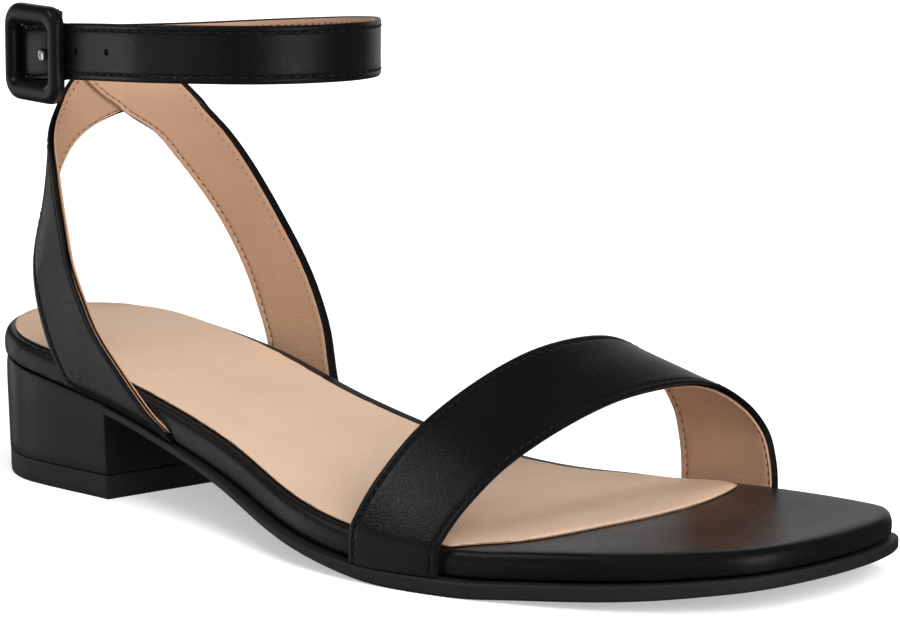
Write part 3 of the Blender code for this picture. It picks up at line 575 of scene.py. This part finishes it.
LATERAL_FRONT = (302.0, 278.0, 257.5, 246.0, 237.0, 231.5, 226.0, 220.5, 212.0, 203.5)
LATERAL_BACK = (242.0, 232.0, 224.5, 218.0, 211.5, 206.5, 202.5, 197.5, 186.5, 169.0)
MEDIAL_BACK = (98.0, 102.5, 109.0, 115.0, 121.7, 129.0, 137.2, 146.0, 155.5, 169.0)
MEDIAL_FRONT = (48.0, 57.8, 66.2, 76.8, 87.3, 97.3, 106.3, 115.0, 124.2, 132.7)
ABOVE_SHARE = (0.915, 0.95, 1.035, TOP_SHARE)
LATERAL_FRONT_ABOVE = (200.0, 197.0, 189.0, 188.0)
LATERAL_BACK_ABOVE = (156.0, 148.5, 148.0, 148.5)
MEDIAL_BACK_ABOVE = (173.5, 180.0, 190.5, 191.5)
MEDIAL_BACK_UNDER = (171.5, 165.0, 155.0, 153.0)
MEDIAL_FRONT_ABOVE = (135.6, 139.2, 147.5, 148.0)
YOKE_PLAN = (
    (0.018, 0.111), (-0.001, -0.042), (0.018, -0.195), (0.084, -0.313), (0.225, -0.390),
    (0.398, -0.432), (0.615, -0.446), (0.854, -0.362), (1.016, -0.167), (1.049, 0.014),
    (0.995, 0.251), (0.799, 0.446), (0.528, 0.529), (0.279, 0.460), (0.105, 0.320),
)


def plan_curve(points, steps, closed):
    """Smooth plan curve through shares of the ankle loop."""
    points = [(LOOP_BACK + a * LOOP_LENGTH, c * LOOP_WIDTH) for a, c in points]
    return plan_points(points, steps, closed)


def plan_points(points, steps, closed):
    """Smooth plan curve through points."""
    count = len(points)
    result = []
    for i in range(count if closed else count - 1):
        picks = [(i + k) % count if closed else min(max(i + k, 0), count - 1) for k in (-1, 0, 1, 2)]
        p0, p1, p2, p3 = (points[k] for k in picks)
        for j in range(steps):
            t = j / steps
            result.append(tuple(
                (2 * t ** 3 - 3 * t ** 2 + 1) * p1[c] + (t ** 3 - 2 * t ** 2 + t) * 0.5 * (p2[c] - p0[c])
                + (3 * t ** 2 - 2 * t ** 3) * p2[c] + (t ** 3 - t ** 2) * 0.5 * (p3[c] - p1[c])
                for c in (0, 1)))
    if not closed:
        result.append(tuple(points[-1]))
    return result


def reach_table(curve):
    """Distance from the ankle's centre to a closed plan curve, for each whole degree."""
    table = []
    count = len(curve)
    for degree in range(361):
        dx, dy = math.cos(math.radians(degree)), math.sin(math.radians(degree))
        best = 0.0
        for i in range(count):
            ax, ay = curve[i][0] - CENTRE_X, curve[i][1]
            bx, by = curve[(i + 1) % count][0] - CENTRE_X, curve[(i + 1) % count][1]
            ex, ey = bx - ax, by - ay
            cross = dx * ey - dy * ex
            if abs(cross) > 1e-12:
                along = (ax * ey - ay * ex) / cross
                share = (ax * dy - ay * dx) / cross
                if along > best and -1e-9 <= share <= 1 + 1e-9:
                    best = along
        table.append(best)
    return table


def reach_at(table, degrees):
    """Distance at any angle; the slopes of the neighbours keep it smooth."""
    low = int(math.floor(degrees))
    t = degrees - low
    p0, p1, p2, p3 = (table[(low + k) % 360] for k in (-1, 0, 1, 2))
    return ((2 * t ** 3 - 3 * t ** 2 + 1) * p1 + (t ** 3 - 2 * t ** 2 + t) * 0.5 * (p2 - p0)
            + (3 * t ** 2 - 2 * t ** 3) * p2 + (t ** 3 - t ** 2) * 0.5 * (p3 - p1))


def sole_ring():
    """Plan curve of the footbed's edge, moved out to the strap's outer face."""
    half = []
    for i in range(121):
        x = SOLE_LENGTH * (1 - math.cos(math.pi * i / 120)) / 2
        half.append(x)
    ring = [(x, side_y(x, False)) for x in half] + [(x, side_y(x, True)) for x in reversed(half[1:-1])]
    moved = []
    for i, (x, y) in enumerate(ring):
        ax, ay = ring[i - 1]
        bx, by = ring[(i + 1) % len(ring)]
        length = math.hypot(bx - ax, by - ay)
        reach = GAP + STRAP_THICKNESS
        moved.append((x + (by - ay) / length * reach, y - (bx - ax) / length * reach))
    return moved


SOLE_REACH = reach_table(sole_ring())
ANKLE_REACH = reach_table(plan_curve(YOKE_PLAN, 8, True))


def ankle_top_z(x, y):
    """Top edge of the ankle strap: sloped both ways, twisted up at the medial front, and crowned."""
    forward = x - CENTRE_X
    bend = ANKLE_TWIST * forward * (y + 0.4081 * LOOP_WIDTH) - ANKLE_CROWN * forward ** 2
    return ANKLE_TOP + ANKLE_SLOPE_FORWARD * forward + ANKLE_SLOPE_MEDIAL * y + bend


def heel_cone(degrees, share):
    """The surface that both heel straps lie on; its foot curls in to the footbed's seam."""
    dx, dy = math.cos(math.radians(degrees)), math.sin(math.radians(degrees))
    low = reach_at(SOLE_REACH, degrees)
    high = reach_at(ANKLE_REACH, degrees)
    rise = min(max((share - YOKE_FOOT) / (1 - YOKE_FOOT), 0.0), 1.0)
    radius = low + (high - low) * (1 - (1 - rise) ** YOKE_EASE)
    radius -= FOOT_TUCK * max(1 - share / 0.045, 0.0) ** 2
    foot = seam_z(CENTRE_X + dx * low) + 2 * GAP
    head = ankle_top_z(CENTRE_X + dx * high, dy * high) - ANKLE_WIDTH
    return Vector((CENTRE_X + dx * radius - ORIGIN_X, dy * radius, foot + (head - foot) * share))


def strap_between(first, first_above, second, second_above):
    """A strap on the cone between two edges; u runs up the strap and v from edge to edge."""
    shares = YOKE_SHARE + ABOVE_SHARE

    def face(u, v):
        share = TOP_SHARE * u
        a = smooth(shares, first + first_above, share)
        b = smooth(shares, second + second_above, share)
        return heel_cone(a + (b - a) * v, share)

    return face


def dipped(flat):
    """The medial strap, which dips inside the lateral one where they cross, its back edge first."""

    def face(u, v):
        start = CROSSING - 0.12 + 0.10 * (1 - v)
        dip = min(max((TOP_SHARE * u - start) / (DIP_LENGTH + DIP_SKEW * (1 - v)), 0.0), 1.0)
        dip = dip * dip * (3 - 2 * dip) * DIP_DEPTH
        point = flat(u, v)
        centre = Vector((CENTRE_X - ORIGIN_X, 0.0, point.z))
        return point + (centre - point).normalized() * dip

    return face


lateral_face = strap_between(LATERAL_FRONT, LATERAL_FRONT_ABOVE, LATERAL_BACK, LATERAL_BACK_ABOVE)
medial_skin = dipped(strap_between(MEDIAL_FRONT, MEDIAL_FRONT_ABOVE, MEDIAL_BACK, MEDIAL_BACK_UNDER))
medial_face = dipped(strap_between(MEDIAL_FRONT, MEDIAL_FRONT_ABOVE, MEDIAL_BACK, MEDIAL_BACK_ABOVE))

for name, skin, face, insets in (("lateral", lateral_face, lateral_face, (0.0002, 0.0002)),
                                 ("medial", medial_skin, medial_face, (0.0016, 0.0001))):
    sign = outer_sign(face, (CENTRE_X - ORIGIN_X, 0.0, 0.06))
    strap = leather_strap(name + "_heel_strap", skin, sign, 110, 12)
    finish_piece(strap, [black_leather], "ankle_upper")
    inside = strap_lining(name + "_heel_lining", face, sign, 110, 10, insets)
    finish_piece(inside, [lining_finish, edge_finish], "ankle_upper", hide=False)
    rows = [stitch_line(skin, sign, edge, -0.00005) for edge in (True, False)]
    thread = sew(name + "_heel_stitches", rows, STITCH_LENGTH, THREAD_RADIUS, STITCH_PITCH)
    finish_piece(thread, [black_thread], "ankle_upper", hide=False)
    rows = [stitch_line(face, sign, edge, INNER, distance=DOT_IN + insets[0] * edge)
            for edge in (True, False)]
    thread = sew(name + "_heel_lining_stitches", rows, DOT_LENGTH, DOT_RADIUS, STITCH_PITCH)
    finish_piece(thread, [brown_thread], "ankle_upper", hide=False)


# Ankle strap: one long turned and lined strap. It starts in a fold round the buckle's bar, goes round
# the heel and the ankle, and its end with the punched holes comes back through the buckle.

BUCKLE_HEADING = math.radians(-10.0)
BUCKLE_LIFT = -0.0003
BUCKLE_LENGTH = 0.0235
BUCKLE_HEIGHT = 0.0243
BUCKLE_BAR = 0.0043
BUCKLE_THICKNESS = 0.0036
BUCKLE_CORNER = 0.0050
BAR_RADIUS = 0.0010
EYE_WALL = 0.0013
EYE_RADIUS = BAR_RADIUS + GAP + EYE_WALL
STRAP_DEPTH = 2 * GAP + STRAP_THICKNESS
BAR_DEPTH = STRAP_DEPTH + 0.0004 + EYE_RADIUS
PRONG_SLOT = 0.0046
HOLE_OFFSET = 0.0032
HOLE_RADIUS = 0.0009
HOLE_PITCH = 0.0138
BUCKLE_PLACE = (LOOP_BACK + 0.1323 * LOOP_LENGTH, -0.4081 * LOOP_WIDTH)
ANKLE_PLAN = (
    (0.0445, -0.284), (0.011, -0.188), (0.000, -0.042), (0.018, 0.114), (0.101, 0.311),
    (0.275, 0.454), (0.520, 0.515), (0.747, 0.425), (0.900, 0.238), (0.977, 0.008),
    (0.944, -0.198), (0.824, -0.380), (0.615, -0.482), (0.387, -0.468),
)
TAIL_PLAN = ((-0.036, -0.292), (-0.057, -0.216))
TIP_LENGTH = 0.006
ANKLE_PITCH = 0.0032
ANKLE_STITCH = 0.0025
WINDOW_HALF = 0.0074
WINDOW_BULGE = 0.0030
WINDOW_SPREAD = 0.0007
WAVE_LENGTH = 0.034
WAVE_DEPTH = 0.00022


def buckle_point(t, n, v):
    """Point in the buckle's own axes: along the strap, out of it, and up."""
    x, y = BUCKLE_PLACE
    z = ankle_top_z(x, y) - ANKLE_WIDTH / 2 + BUCKLE_LIFT
    c, s = math.cos(BUCKLE_HEADING), math.sin(BUCKLE_HEADING)
    return Vector((x + c * t + s * n - ORIGIN_X, y + s * t - c * n, z + v))


def plan_of(t, n):
    point = buckle_point(t, n, 0.0)
    return (point.x + ORIGIN_X, point.y)


loop_points = [(LOOP_BACK + a * LOOP_LENGTH, c * LOOP_WIDTH) for a, c in ANKLE_PLAN]
tail_points = [(LOOP_BACK + a * LOOP_LENGTH, c * LOOP_WIDTH) for a, c in TAIL_PLAN]
window_points = [plan_of(BUCKLE_LENGTH * share, STRAP_THICKNESS / 2 - STRAP_DEPTH)
                 for share in (0.53, 0.28, 0.0, -0.28, -0.53)]
lead_points = [plan_of(-EYE_RADIUS * 0.9, -BAR_DEPTH), plan_of(-EYE_RADIUS * 1.9, -BAR_DEPTH)]
strap_path = plan_points(lead_points + loop_points + window_points + tail_points, 12, False)
lengths = [0.0]
for p, q in zip(strap_path, strap_path[1:]):
    lengths.append(lengths[-1] + math.hypot(q[0] - p[0], q[1] - p[1]))
PATH_LENGTH = lengths[-1]


def path_at(distance):
    """Plan point at a distance along the strap."""
    distance = min(max(distance, 0.0), PATH_LENGTH)
    low, high = 0, len(lengths) - 2
    while low < high:
        k = (low + high + 1) // 2
        if lengths[k] <= distance:
            low = k
        else:
            high = k - 1
    t = (distance - lengths[low]) / (lengths[low + 1] - lengths[low])
    a, b = strap_path[low], strap_path[low + 1]
    return a[0] + (b[0] - a[0]) * t, a[1] + (b[1] - a[1]) * t


def ankle_face(u, v):
    """Outer face of the ankle strap: u along it and v from its lower edge to its upper edge. It waves a
    little, and swells where the end of the strap is pulled through the buckle's window."""
    distance = u * PATH_LENGTH
    x, y = path_at(distance)
    x1, y1 = path_at(distance - 0.0012)
    x2, y2 = path_at(distance + 0.0012)
    dx, dy = x2 - x1, y2 - y1
    length = math.hypot(dx, dy)
    middle = ankle_top_z(x, y) - ANKLE_WIDTH / 2
    left = PATH_LENGTH - distance
    reach = ANKLE_WIDTH / 2
    if left < TIP_LENGTH:
        reach *= 0.35 + 0.65 * math.sqrt(max(1 - (1 - left / TIP_LENGTH) ** 2, 0))
    half = STRAP_THICKNESS / 2 + WAVE_DEPTH * math.sin(2 * math.pi * distance / WAVE_LENGTH)
    px, py = BUCKLE_PLACE
    along = (x - px) * math.cos(BUCKLE_HEADING) + (y - py) * math.sin(BUCKLE_HEADING)
    if u > 0.75 and abs(along) < WINDOW_HALF:
        share = along / WINDOW_HALF
        reach += WINDOW_SPREAD * (1 - share ** 2)
        half += WINDOW_BULGE * (1 - abs(share) ** 3) * (0.72 - 0.33 * share) * (1 - abs(2 * v - 1) ** 5)
    return Vector((x - dy / length * half - ORIGIN_X, y + dx / length * half, middle + reach * (2 * v - 1)))


ankle_sign = outer_sign(ankle_face, (CENTRE_X - ORIGIN_X, 0.0, 0.11))
ankle = leather_strap("ankle_leather", ankle_face, ankle_sign, 300, 6)
ankle_inside = strap_lining("ankle_lining", ankle_face, ankle_sign, 300, 5, (0.0004, 0.0004))


def punch(piece, places):
    """Cuts the punched holes through a piece."""
    for place in places:
        centre = ankle_face(place / PATH_LENGTH, 0.5)
        out = outward(ankle_face, place / PATH_LENGTH, 0.5, ankle_sign)
        bpy.ops.object.select_all(action="DESELECT")
        bpy.ops.mesh.primitive_cylinder_add(vertices=20, radius=HOLE_RADIUS, depth=0.006,
                                            location=centre, rotation=out.to_track_quat("Z", "Y").to_euler())
        cutter = bpy.context.active_object
        apply(piece, "BOOLEAN", operation="DIFFERENCE", solver="EXACT", object=cutter)
        bpy.data.objects.remove(cutter)


hole_one = min(range(400), key=lambda k: (ankle_face(0.75 + k / 1600, 0.5)
                                          - buckle_point(HOLE_OFFSET, 0, 0)).length)
first_hole = (0.75 + hole_one / 1600) * PATH_LENGTH
holes = [first_hole - HOLE_PITCH * k for k in range(3)]
punch(ankle, holes)
punch(ankle_inside, holes)
finish_piece(ankle, [black_leather], "ankle_upper", hide=False)
finish_piece(ankle_inside, [lining_finish, edge_finish], "ankle_upper", hide=False)
ankle_rows = [stitch_line(ankle_face, ankle_sign, edge, -0.00005, 360, 0.01, 0.985) for edge in (True, False)]
ankle_thread = sew("ankle_stitches", ankle_rows, ANKLE_STITCH, THREAD_RADIUS, ANKLE_PITCH)
finish_piece(ankle_thread, [black_thread], "ankle_upper", hide=False)
ankle_rows = [stitch_line(ankle_face, ankle_sign, edge, INNER, 360, 0.01, 0.985, DOT_IN)
              for edge in (True, False)]
ankle_inner_thread = sew("ankle_lining_stitches", ankle_rows, DOT_LENGTH, DOT_RADIUS, STITCH_PITCH)
finish_piece(ankle_inner_thread, [brown_thread], "ankle_upper", hide=False)

for part, (low, high) in enumerate(((-ANKLE_WIDTH / 2, -PRONG_SLOT / 2), (PRONG_SLOT / 2, ANKLE_WIDTH / 2))):
    bpy.ops.object.select_all(action="DESELECT")
    bpy.ops.mesh.primitive_grid_add(x_subdivisions=28, y_subdivisions=6, size=2)
    fold = bpy.context.active_object
    fold.name = "bar_fold_" + str(part + 1)
    for vertex in fold.data.vertices:
        turn = math.radians(175 - 330 * (vertex.co.x + 1) / 2)
        v = low + (high - low) * (vertex.co.y + 1) / 2
        vertex.co = buckle_point(EYE_RADIUS * math.cos(turn), -BAR_DEPTH + EYE_RADIUS * math.sin(turn), v)
    fold.data.update()
    outer = fold.data.polygons[0]
    if outer.normal.dot(outer.center - buckle_point(0, -BAR_DEPTH, (low + high) / 2)) < 0:
        only(fold)
        bpy.ops.object.mode_set(mode="EDIT")
        bpy.ops.mesh.select_all(action="SELECT")
        bpy.ops.mesh.flip_normals()
        bpy.ops.object.mode_set(mode="OBJECT")
    apply(fold, "SOLIDIFY", thickness=EYE_WALL, offset=-1.0)
    apply(fold, "BEVEL", width=0.0003, segments=2, limit_method="ANGLE", angle_limit=math.radians(50))
    finish_piece(fold, [black_leather], "ankle_upper", hide=False)


# Buckle: a rectangular metal frame with rounded corners, covered in the same black leather, with a
# thin covered bar across its back that the strap and the prong turn on.

def frame_outline(half_length, half_height, radius):
    """Rounded rectangle in the buckle's plane, with points along its sides too."""
    points = []
    for cx, cy, start in ((1, 1, 0.0), (-1, 1, 0.5), (-1, -1, 1.0), (1, -1, 1.5)):
        for i in range(9):
            a = math.pi * (start + 0.5 * i / 8)
            points.append((cx * (half_length - radius) + radius * math.cos(a),
                           cy * (half_height - radius) + radius * math.sin(a)))
    full = []
    for (ax, ay), (bx, by) in zip(points, points[1:] + points[:1]):
        steps = 6 if math.hypot(bx - ax, by - ay) > 0.003 else 1
        full += [(ax + (bx - ax) * k / steps, ay + (by - ay) * k / steps) for k in range(steps)]
    return full


BAR_ACROSS = 0.88
BAR_UPRIGHT = 1.28
WINDOW_SHIFT = 0.12
FRAME_SECTION = ((0.10, 0.00), (0.02, 0.07), (0.00, 0.22), (0.00, 0.48), (0.06, 0.72), (0.17, 0.88),
                 (0.32, 0.97), (0.50, 1.00), (0.66, 0.95), (0.80, 0.82), (0.92, 0.62), (1.00, 0.40),
                 (1.00, 0.18), (0.97, 0.05), (0.86, 0.00), (0.48, 0.00))
rings = []
for inset, height in FRAME_SECTION:
    d = inset * BUCKLE_BAR
    outline = frame_outline(BUCKLE_LENGTH / 2 - BAR_ACROSS * d, BUCKLE_HEIGHT / 2 - BAR_UPRIGHT * d,
                            max(BUCKLE_CORNER - 0.75 * d, 0.001))
    rings.append([buckle_point(t - WINDOW_SHIFT * d, height * BUCKLE_THICKNESS, v) for t, v in outline])
bpy.ops.object.select_all(action="DESELECT")
bpy.ops.mesh.primitive_grid_add(x_subdivisions=len(rings[0]), y_subdivisions=len(rings), size=2)
buckle = bpy.context.active_object
buckle.name = "covered_buckle"
for vertex in buckle.data.vertices:
    i = round((vertex.co.x + 1) / 2 * len(rings[0])) % len(rings[0])
    j = round((vertex.co.y + 1) / 2 * len(rings)) % len(rings)
    vertex.co = rings[j][i]
bpy.ops.object.mode_set(mode="EDIT")
bpy.ops.mesh.select_all(action="SELECT")
bpy.ops.mesh.remove_doubles(threshold=0.000001)
bpy.ops.mesh.normals_make_consistent(inside=False)
bpy.ops.object.mode_set(mode="OBJECT")
apply(buckle, "SUBSURF", levels=1, render_levels=1)
finish_piece(buckle, [black_nappa("pressed_black_nappa_buckle", rough=0.27, relief=0.06)], "buckle_frame")

bar_reach = BUCKLE_HEIGHT / 2 - BUCKLE_BAR * 0.55
bpy.ops.object.select_all(action="DESELECT")
bpy.ops.mesh.primitive_cylinder_add(vertices=24, radius=BAR_RADIUS, depth=2 * bar_reach + 0.0008,
                                    location=buckle_point(0, -BAR_DEPTH, 0))
centre_bar = bpy.context.active_object
centre_bar.name = "centre_bar"
bpy.ops.object.transform_apply(location=True, rotation=True, scale=True)
apply(centre_bar, "BEVEL", width=0.0003, segments=3, limit_method="ANGLE", angle_limit=math.radians(50))
for sign in (-1, 1):
    bpy.ops.object.select_all(action="DESELECT")
    bpy.ops.mesh.primitive_cylinder_add(vertices=16, radius=BAR_RADIUS * 0.95,
                                        depth=BAR_DEPTH + BUCKLE_THICKNESS * 0.4,
                                        location=buckle_point(0, (BUCKLE_THICKNESS * 0.4 - BAR_DEPTH) / 2,
                                                              sign * bar_reach),
                                        rotation=(math.radians(90), 0, BUCKLE_HEADING))
    post = bpy.context.active_object
    bpy.ops.object.transform_apply(location=True, rotation=True, scale=True)
    apply(post, "BEVEL", width=0.0003, segments=3, limit_method="ANGLE", angle_limit=math.radians(50))
    post.select_set(True)
    centre_bar.select_set(True)
    bpy.context.view_layer.objects.active = centre_bar
    bpy.ops.object.join()
finish_piece(centre_bar, [black_nappa("pressed_black_nappa_bar", rough=0.27, relief=0.06)], "buckle_frame",
             hide=False)


# Prong: bent from bright plated steel, curled round the bar and resting in the strap's hole.

PLATED_STEEL = "#dcdcdd"
PRONG_HALF_WIDTH = 0.0013
PRONG_HALF_DEPTH = 0.00070


def plated_steel(name, code):
    """Polished and plated steel: bright, with fine hairlines from polishing."""
    material, tree, shader, place = new_finish(name, Base_Color=tone(code), Metallic=1.0, Roughness=0.2)
    stretch = add_node(tree, "ShaderNodeMapping", [("Vector", place, "Object")], Scale=(400.0, 400.0, 4000.0))
    lines = add_node(tree, "ShaderNodeTexNoise", [("Vector", stretch, "Vector")], Scale=1.0, Detail=2.0)
    rub = add_node(tree, "ShaderNodeMapRange", [("Value", lines, "Fac")], To_Min=0.14, To_Max=0.30)
    tree.links.new(rub.outputs["Result"], shader.inputs["Roughness"])
    return material


prong_line = []
for i in range(25):
    a = math.radians(-20 - 300 * i / 24)
    wrap = BAR_RADIUS + GAP + PRONG_HALF_DEPTH
    prong_line.append((wrap * math.cos(a), -BAR_DEPTH + wrap * math.sin(a)))
prong_line += [(HOLE_OFFSET - 0.0007, -STRAP_DEPTH - 0.0007), (HOLE_OFFSET, -STRAP_DEPTH + GAP),
               (HOLE_OFFSET, 0.0012), (HOLE_OFFSET + 0.0009, 0.0024), (HOLE_OFFSET + 0.0036, 0.0028)]
prong_line = plan_points(prong_line, 3, False)
SIDES = 14
bpy.ops.object.select_all(action="DESELECT")
bpy.ops.mesh.primitive_grid_add(x_subdivisions=len(prong_line) - 1, y_subdivisions=SIDES, size=2)
prong = bpy.context.active_object
prong.name = "plated_prong"
last = len(prong_line) - 1
for vertex in prong.data.vertices:
    i = round((vertex.co.x + 1) / 2 * last)
    k = round((vertex.co.y + 1) / 2 * SIDES)
    (ax, ay), (bx, by) = prong_line[max(i - 1, 0)], prong_line[min(i + 1, last)]
    length = math.hypot(bx - ax, by - ay)
    turn = 2 * math.pi * k / SIDES
    corner = (abs(math.cos(turn)) ** 4 + abs(math.sin(turn)) ** 4) ** -0.25
    size = 0.7 if i == last else 1.0
    out = PRONG_HALF_DEPTH * math.cos(turn) * corner * size
    up = PRONG_HALF_WIDTH * math.sin(turn) * corner * size
    vertex.co = buckle_point(prong_line[i][0] - (by - ay) / length * out,
                             prong_line[i][1] + (bx - ax) / length * out, up)
bpy.ops.object.mode_set(mode="EDIT")
bpy.ops.mesh.select_all(action="SELECT")
bpy.ops.mesh.remove_doubles(threshold=0.000001)
bpy.ops.mesh.select_all(action="DESELECT")
bpy.ops.mesh.select_non_manifold()
bpy.ops.mesh.fill_holes(sides=0)
bpy.ops.mesh.select_all(action="SELECT")
bpy.ops.mesh.normals_make_consistent(inside=False)
bpy.ops.object.mode_set(mode="OBJECT")
finish_piece(prong, [plated_steel("plated_bright_steel", PLATED_STEEL)], "buckle_prong")


# Studio: a plain white floor, and the camera at the photograph's angle. The lamps light the shoe and
# aren't mirrored in it, and the cards are only mirrored. The floor glows more further away.

FLOOR_WHITE = "#f2f2f2"
GLOW_NEAR, GLOW_FAR = 0.45, 1.1
GLOW_FROM, GLOW_TO = 0.25, 1.0

bpy.ops.object.select_all(action="DESELECT")
bpy.ops.mesh.primitive_plane_add(size=12, location=(0.1, 0, 0))
floor = bpy.context.active_object
floor.name = "studio_floor"
bpy.ops.object.transform_apply(location=True, rotation=True, scale=True)
white, tree, shader, place = new_finish("painted_white_floor", Base_Color=tone(FLOOR_WHITE), Roughness=0.7)
shader.inputs["Emission Color"].default_value = (1, 1, 1, 1)
reach = add_node(tree, "ShaderNodeVectorMath", [("Vector", place, "Object")], operation="DISTANCE")
reach.inputs[1].default_value = (0.1, 0.0, 0.0)
glow = add_node(tree, "ShaderNodeMapRange", [("Value", reach, "Value")],
                From_Min=GLOW_FROM, From_Max=GLOW_TO, To_Min=GLOW_NEAR, To_Max=GLOW_FAR)
tree.links.new(glow.outputs["Result"], shader.inputs["Emission Strength"])
speck = add_node(tree, "ShaderNodeTexNoise", [("Vector", place, "Object")], Scale=200.0, Detail=2.0)
relief = add_node(tree, "ShaderNodeBump", [("Height", speck, "Fac")], Strength=0.02, Distance=0.0002)
tree.links.new(relief.outputs["Normal"], shader.inputs["Normal"])
floor.data.materials.append(white)
floor.visible_glossy = False
floor.visible_shadow = False

world = bpy.data.worlds.new("studio")
bpy.context.scene.world = world
world.use_nodes = True
world.node_tree.nodes["Background"].inputs["Color"].default_value = (1, 1, 1, 1)
world.node_tree.nodes["Background"].inputs["Strength"].default_value = 0.05


def soft_light(name, turn, lift, distance, width, height, brightness, mirrored):
    """A rectangular soft light that faces the shoe, either a lamp or a card that only mirrors in it."""
    light = bpy.data.lights.new(name, "AREA")
    light.shape = "RECTANGLE"
    light.size, light.size_y = width, height
    light.energy = brightness * math.pi * width * height
    lamp = bpy.data.objects.new(name, light)
    bpy.context.scene.collection.objects.link(lamp)
    turn, lift = math.radians(turn), math.radians(lift)
    away = Vector((math.cos(turn) * math.cos(lift), math.sin(turn) * math.cos(lift), math.sin(lift)))
    lamp.location = Vector((0.08, 0.0, 0.05)) + away * distance
    lamp.rotation_euler = away.to_track_quat("Z", "Y").to_euler()
    lamp.visible_glossy = mirrored
    lamp.visible_diffuse = not mirrored
    return lamp


soft_light("top_lamp", 250, 84, 1.3, 1.2, 1.2, 3.0, False)
soft_light("camera_side_lamp", 311, 30, 1.5, 1.0, 1.0, 2.6, False)
soft_light("toe_lamp", 350, 32, 1.3, 1.0, 0.8, 6.3, False)
soft_light("key_card", 238, 48, 1.1, 0.50, 0.34, 1.4, True)
soft_light("back_card", 120, 18, 1.2, 1.3, 1.2, 0.40, True)
soft_light("left_card", 222, -4, 1.0, 1.2, 0.8, 0.24, True)
soft_light("left_strip", 213, -5, 0.9, 0.14, 0.4, 1.3, True)
soft_light("heel_strip", 178, 0, 0.9, 0.12, 0.5, 1.3, True)
soft_light("buckle_strip", 264, -4, 0.9, 0.08, 0.4, 1.0, True)
soft_light("right_card", 350, 4, 1.0, 0.5, 0.5, 1.0, True)

camera_data = bpy.data.cameras.new("camera")
camera = bpy.data.objects.new("camera", camera_data)
bpy.context.scene.collection.objects.link(camera)
bpy.context.scene.camera = camera
camera_data.sensor_width = 36.0
camera_data.lens = 134.9
camera_data.clip_start, camera_data.clip_end = 0.01, 50.0
azimuth, elevation, roll = math.radians(40.73), math.radians(10.46), math.radians(0.56)
back = Vector((math.sin(azimuth) * math.cos(elevation), -math.cos(azimuth) * math.cos(elevation),
               math.sin(elevation)))
right = Vector((math.cos(azimuth), math.sin(azimuth), 0))
up = back.cross(right)
right, up = right * math.cos(roll) + up * math.sin(roll), up * math.cos(roll) - right * math.sin(roll)
turn = Matrix((right, up, back)).transposed().to_4x4()
turn.translation = Vector((0.6577 - ORIGIN_X, -0.5968, 0.1999))
camera.matrix_world = turn
bpy.context.scene.view_settings.view_transform = "Standard"
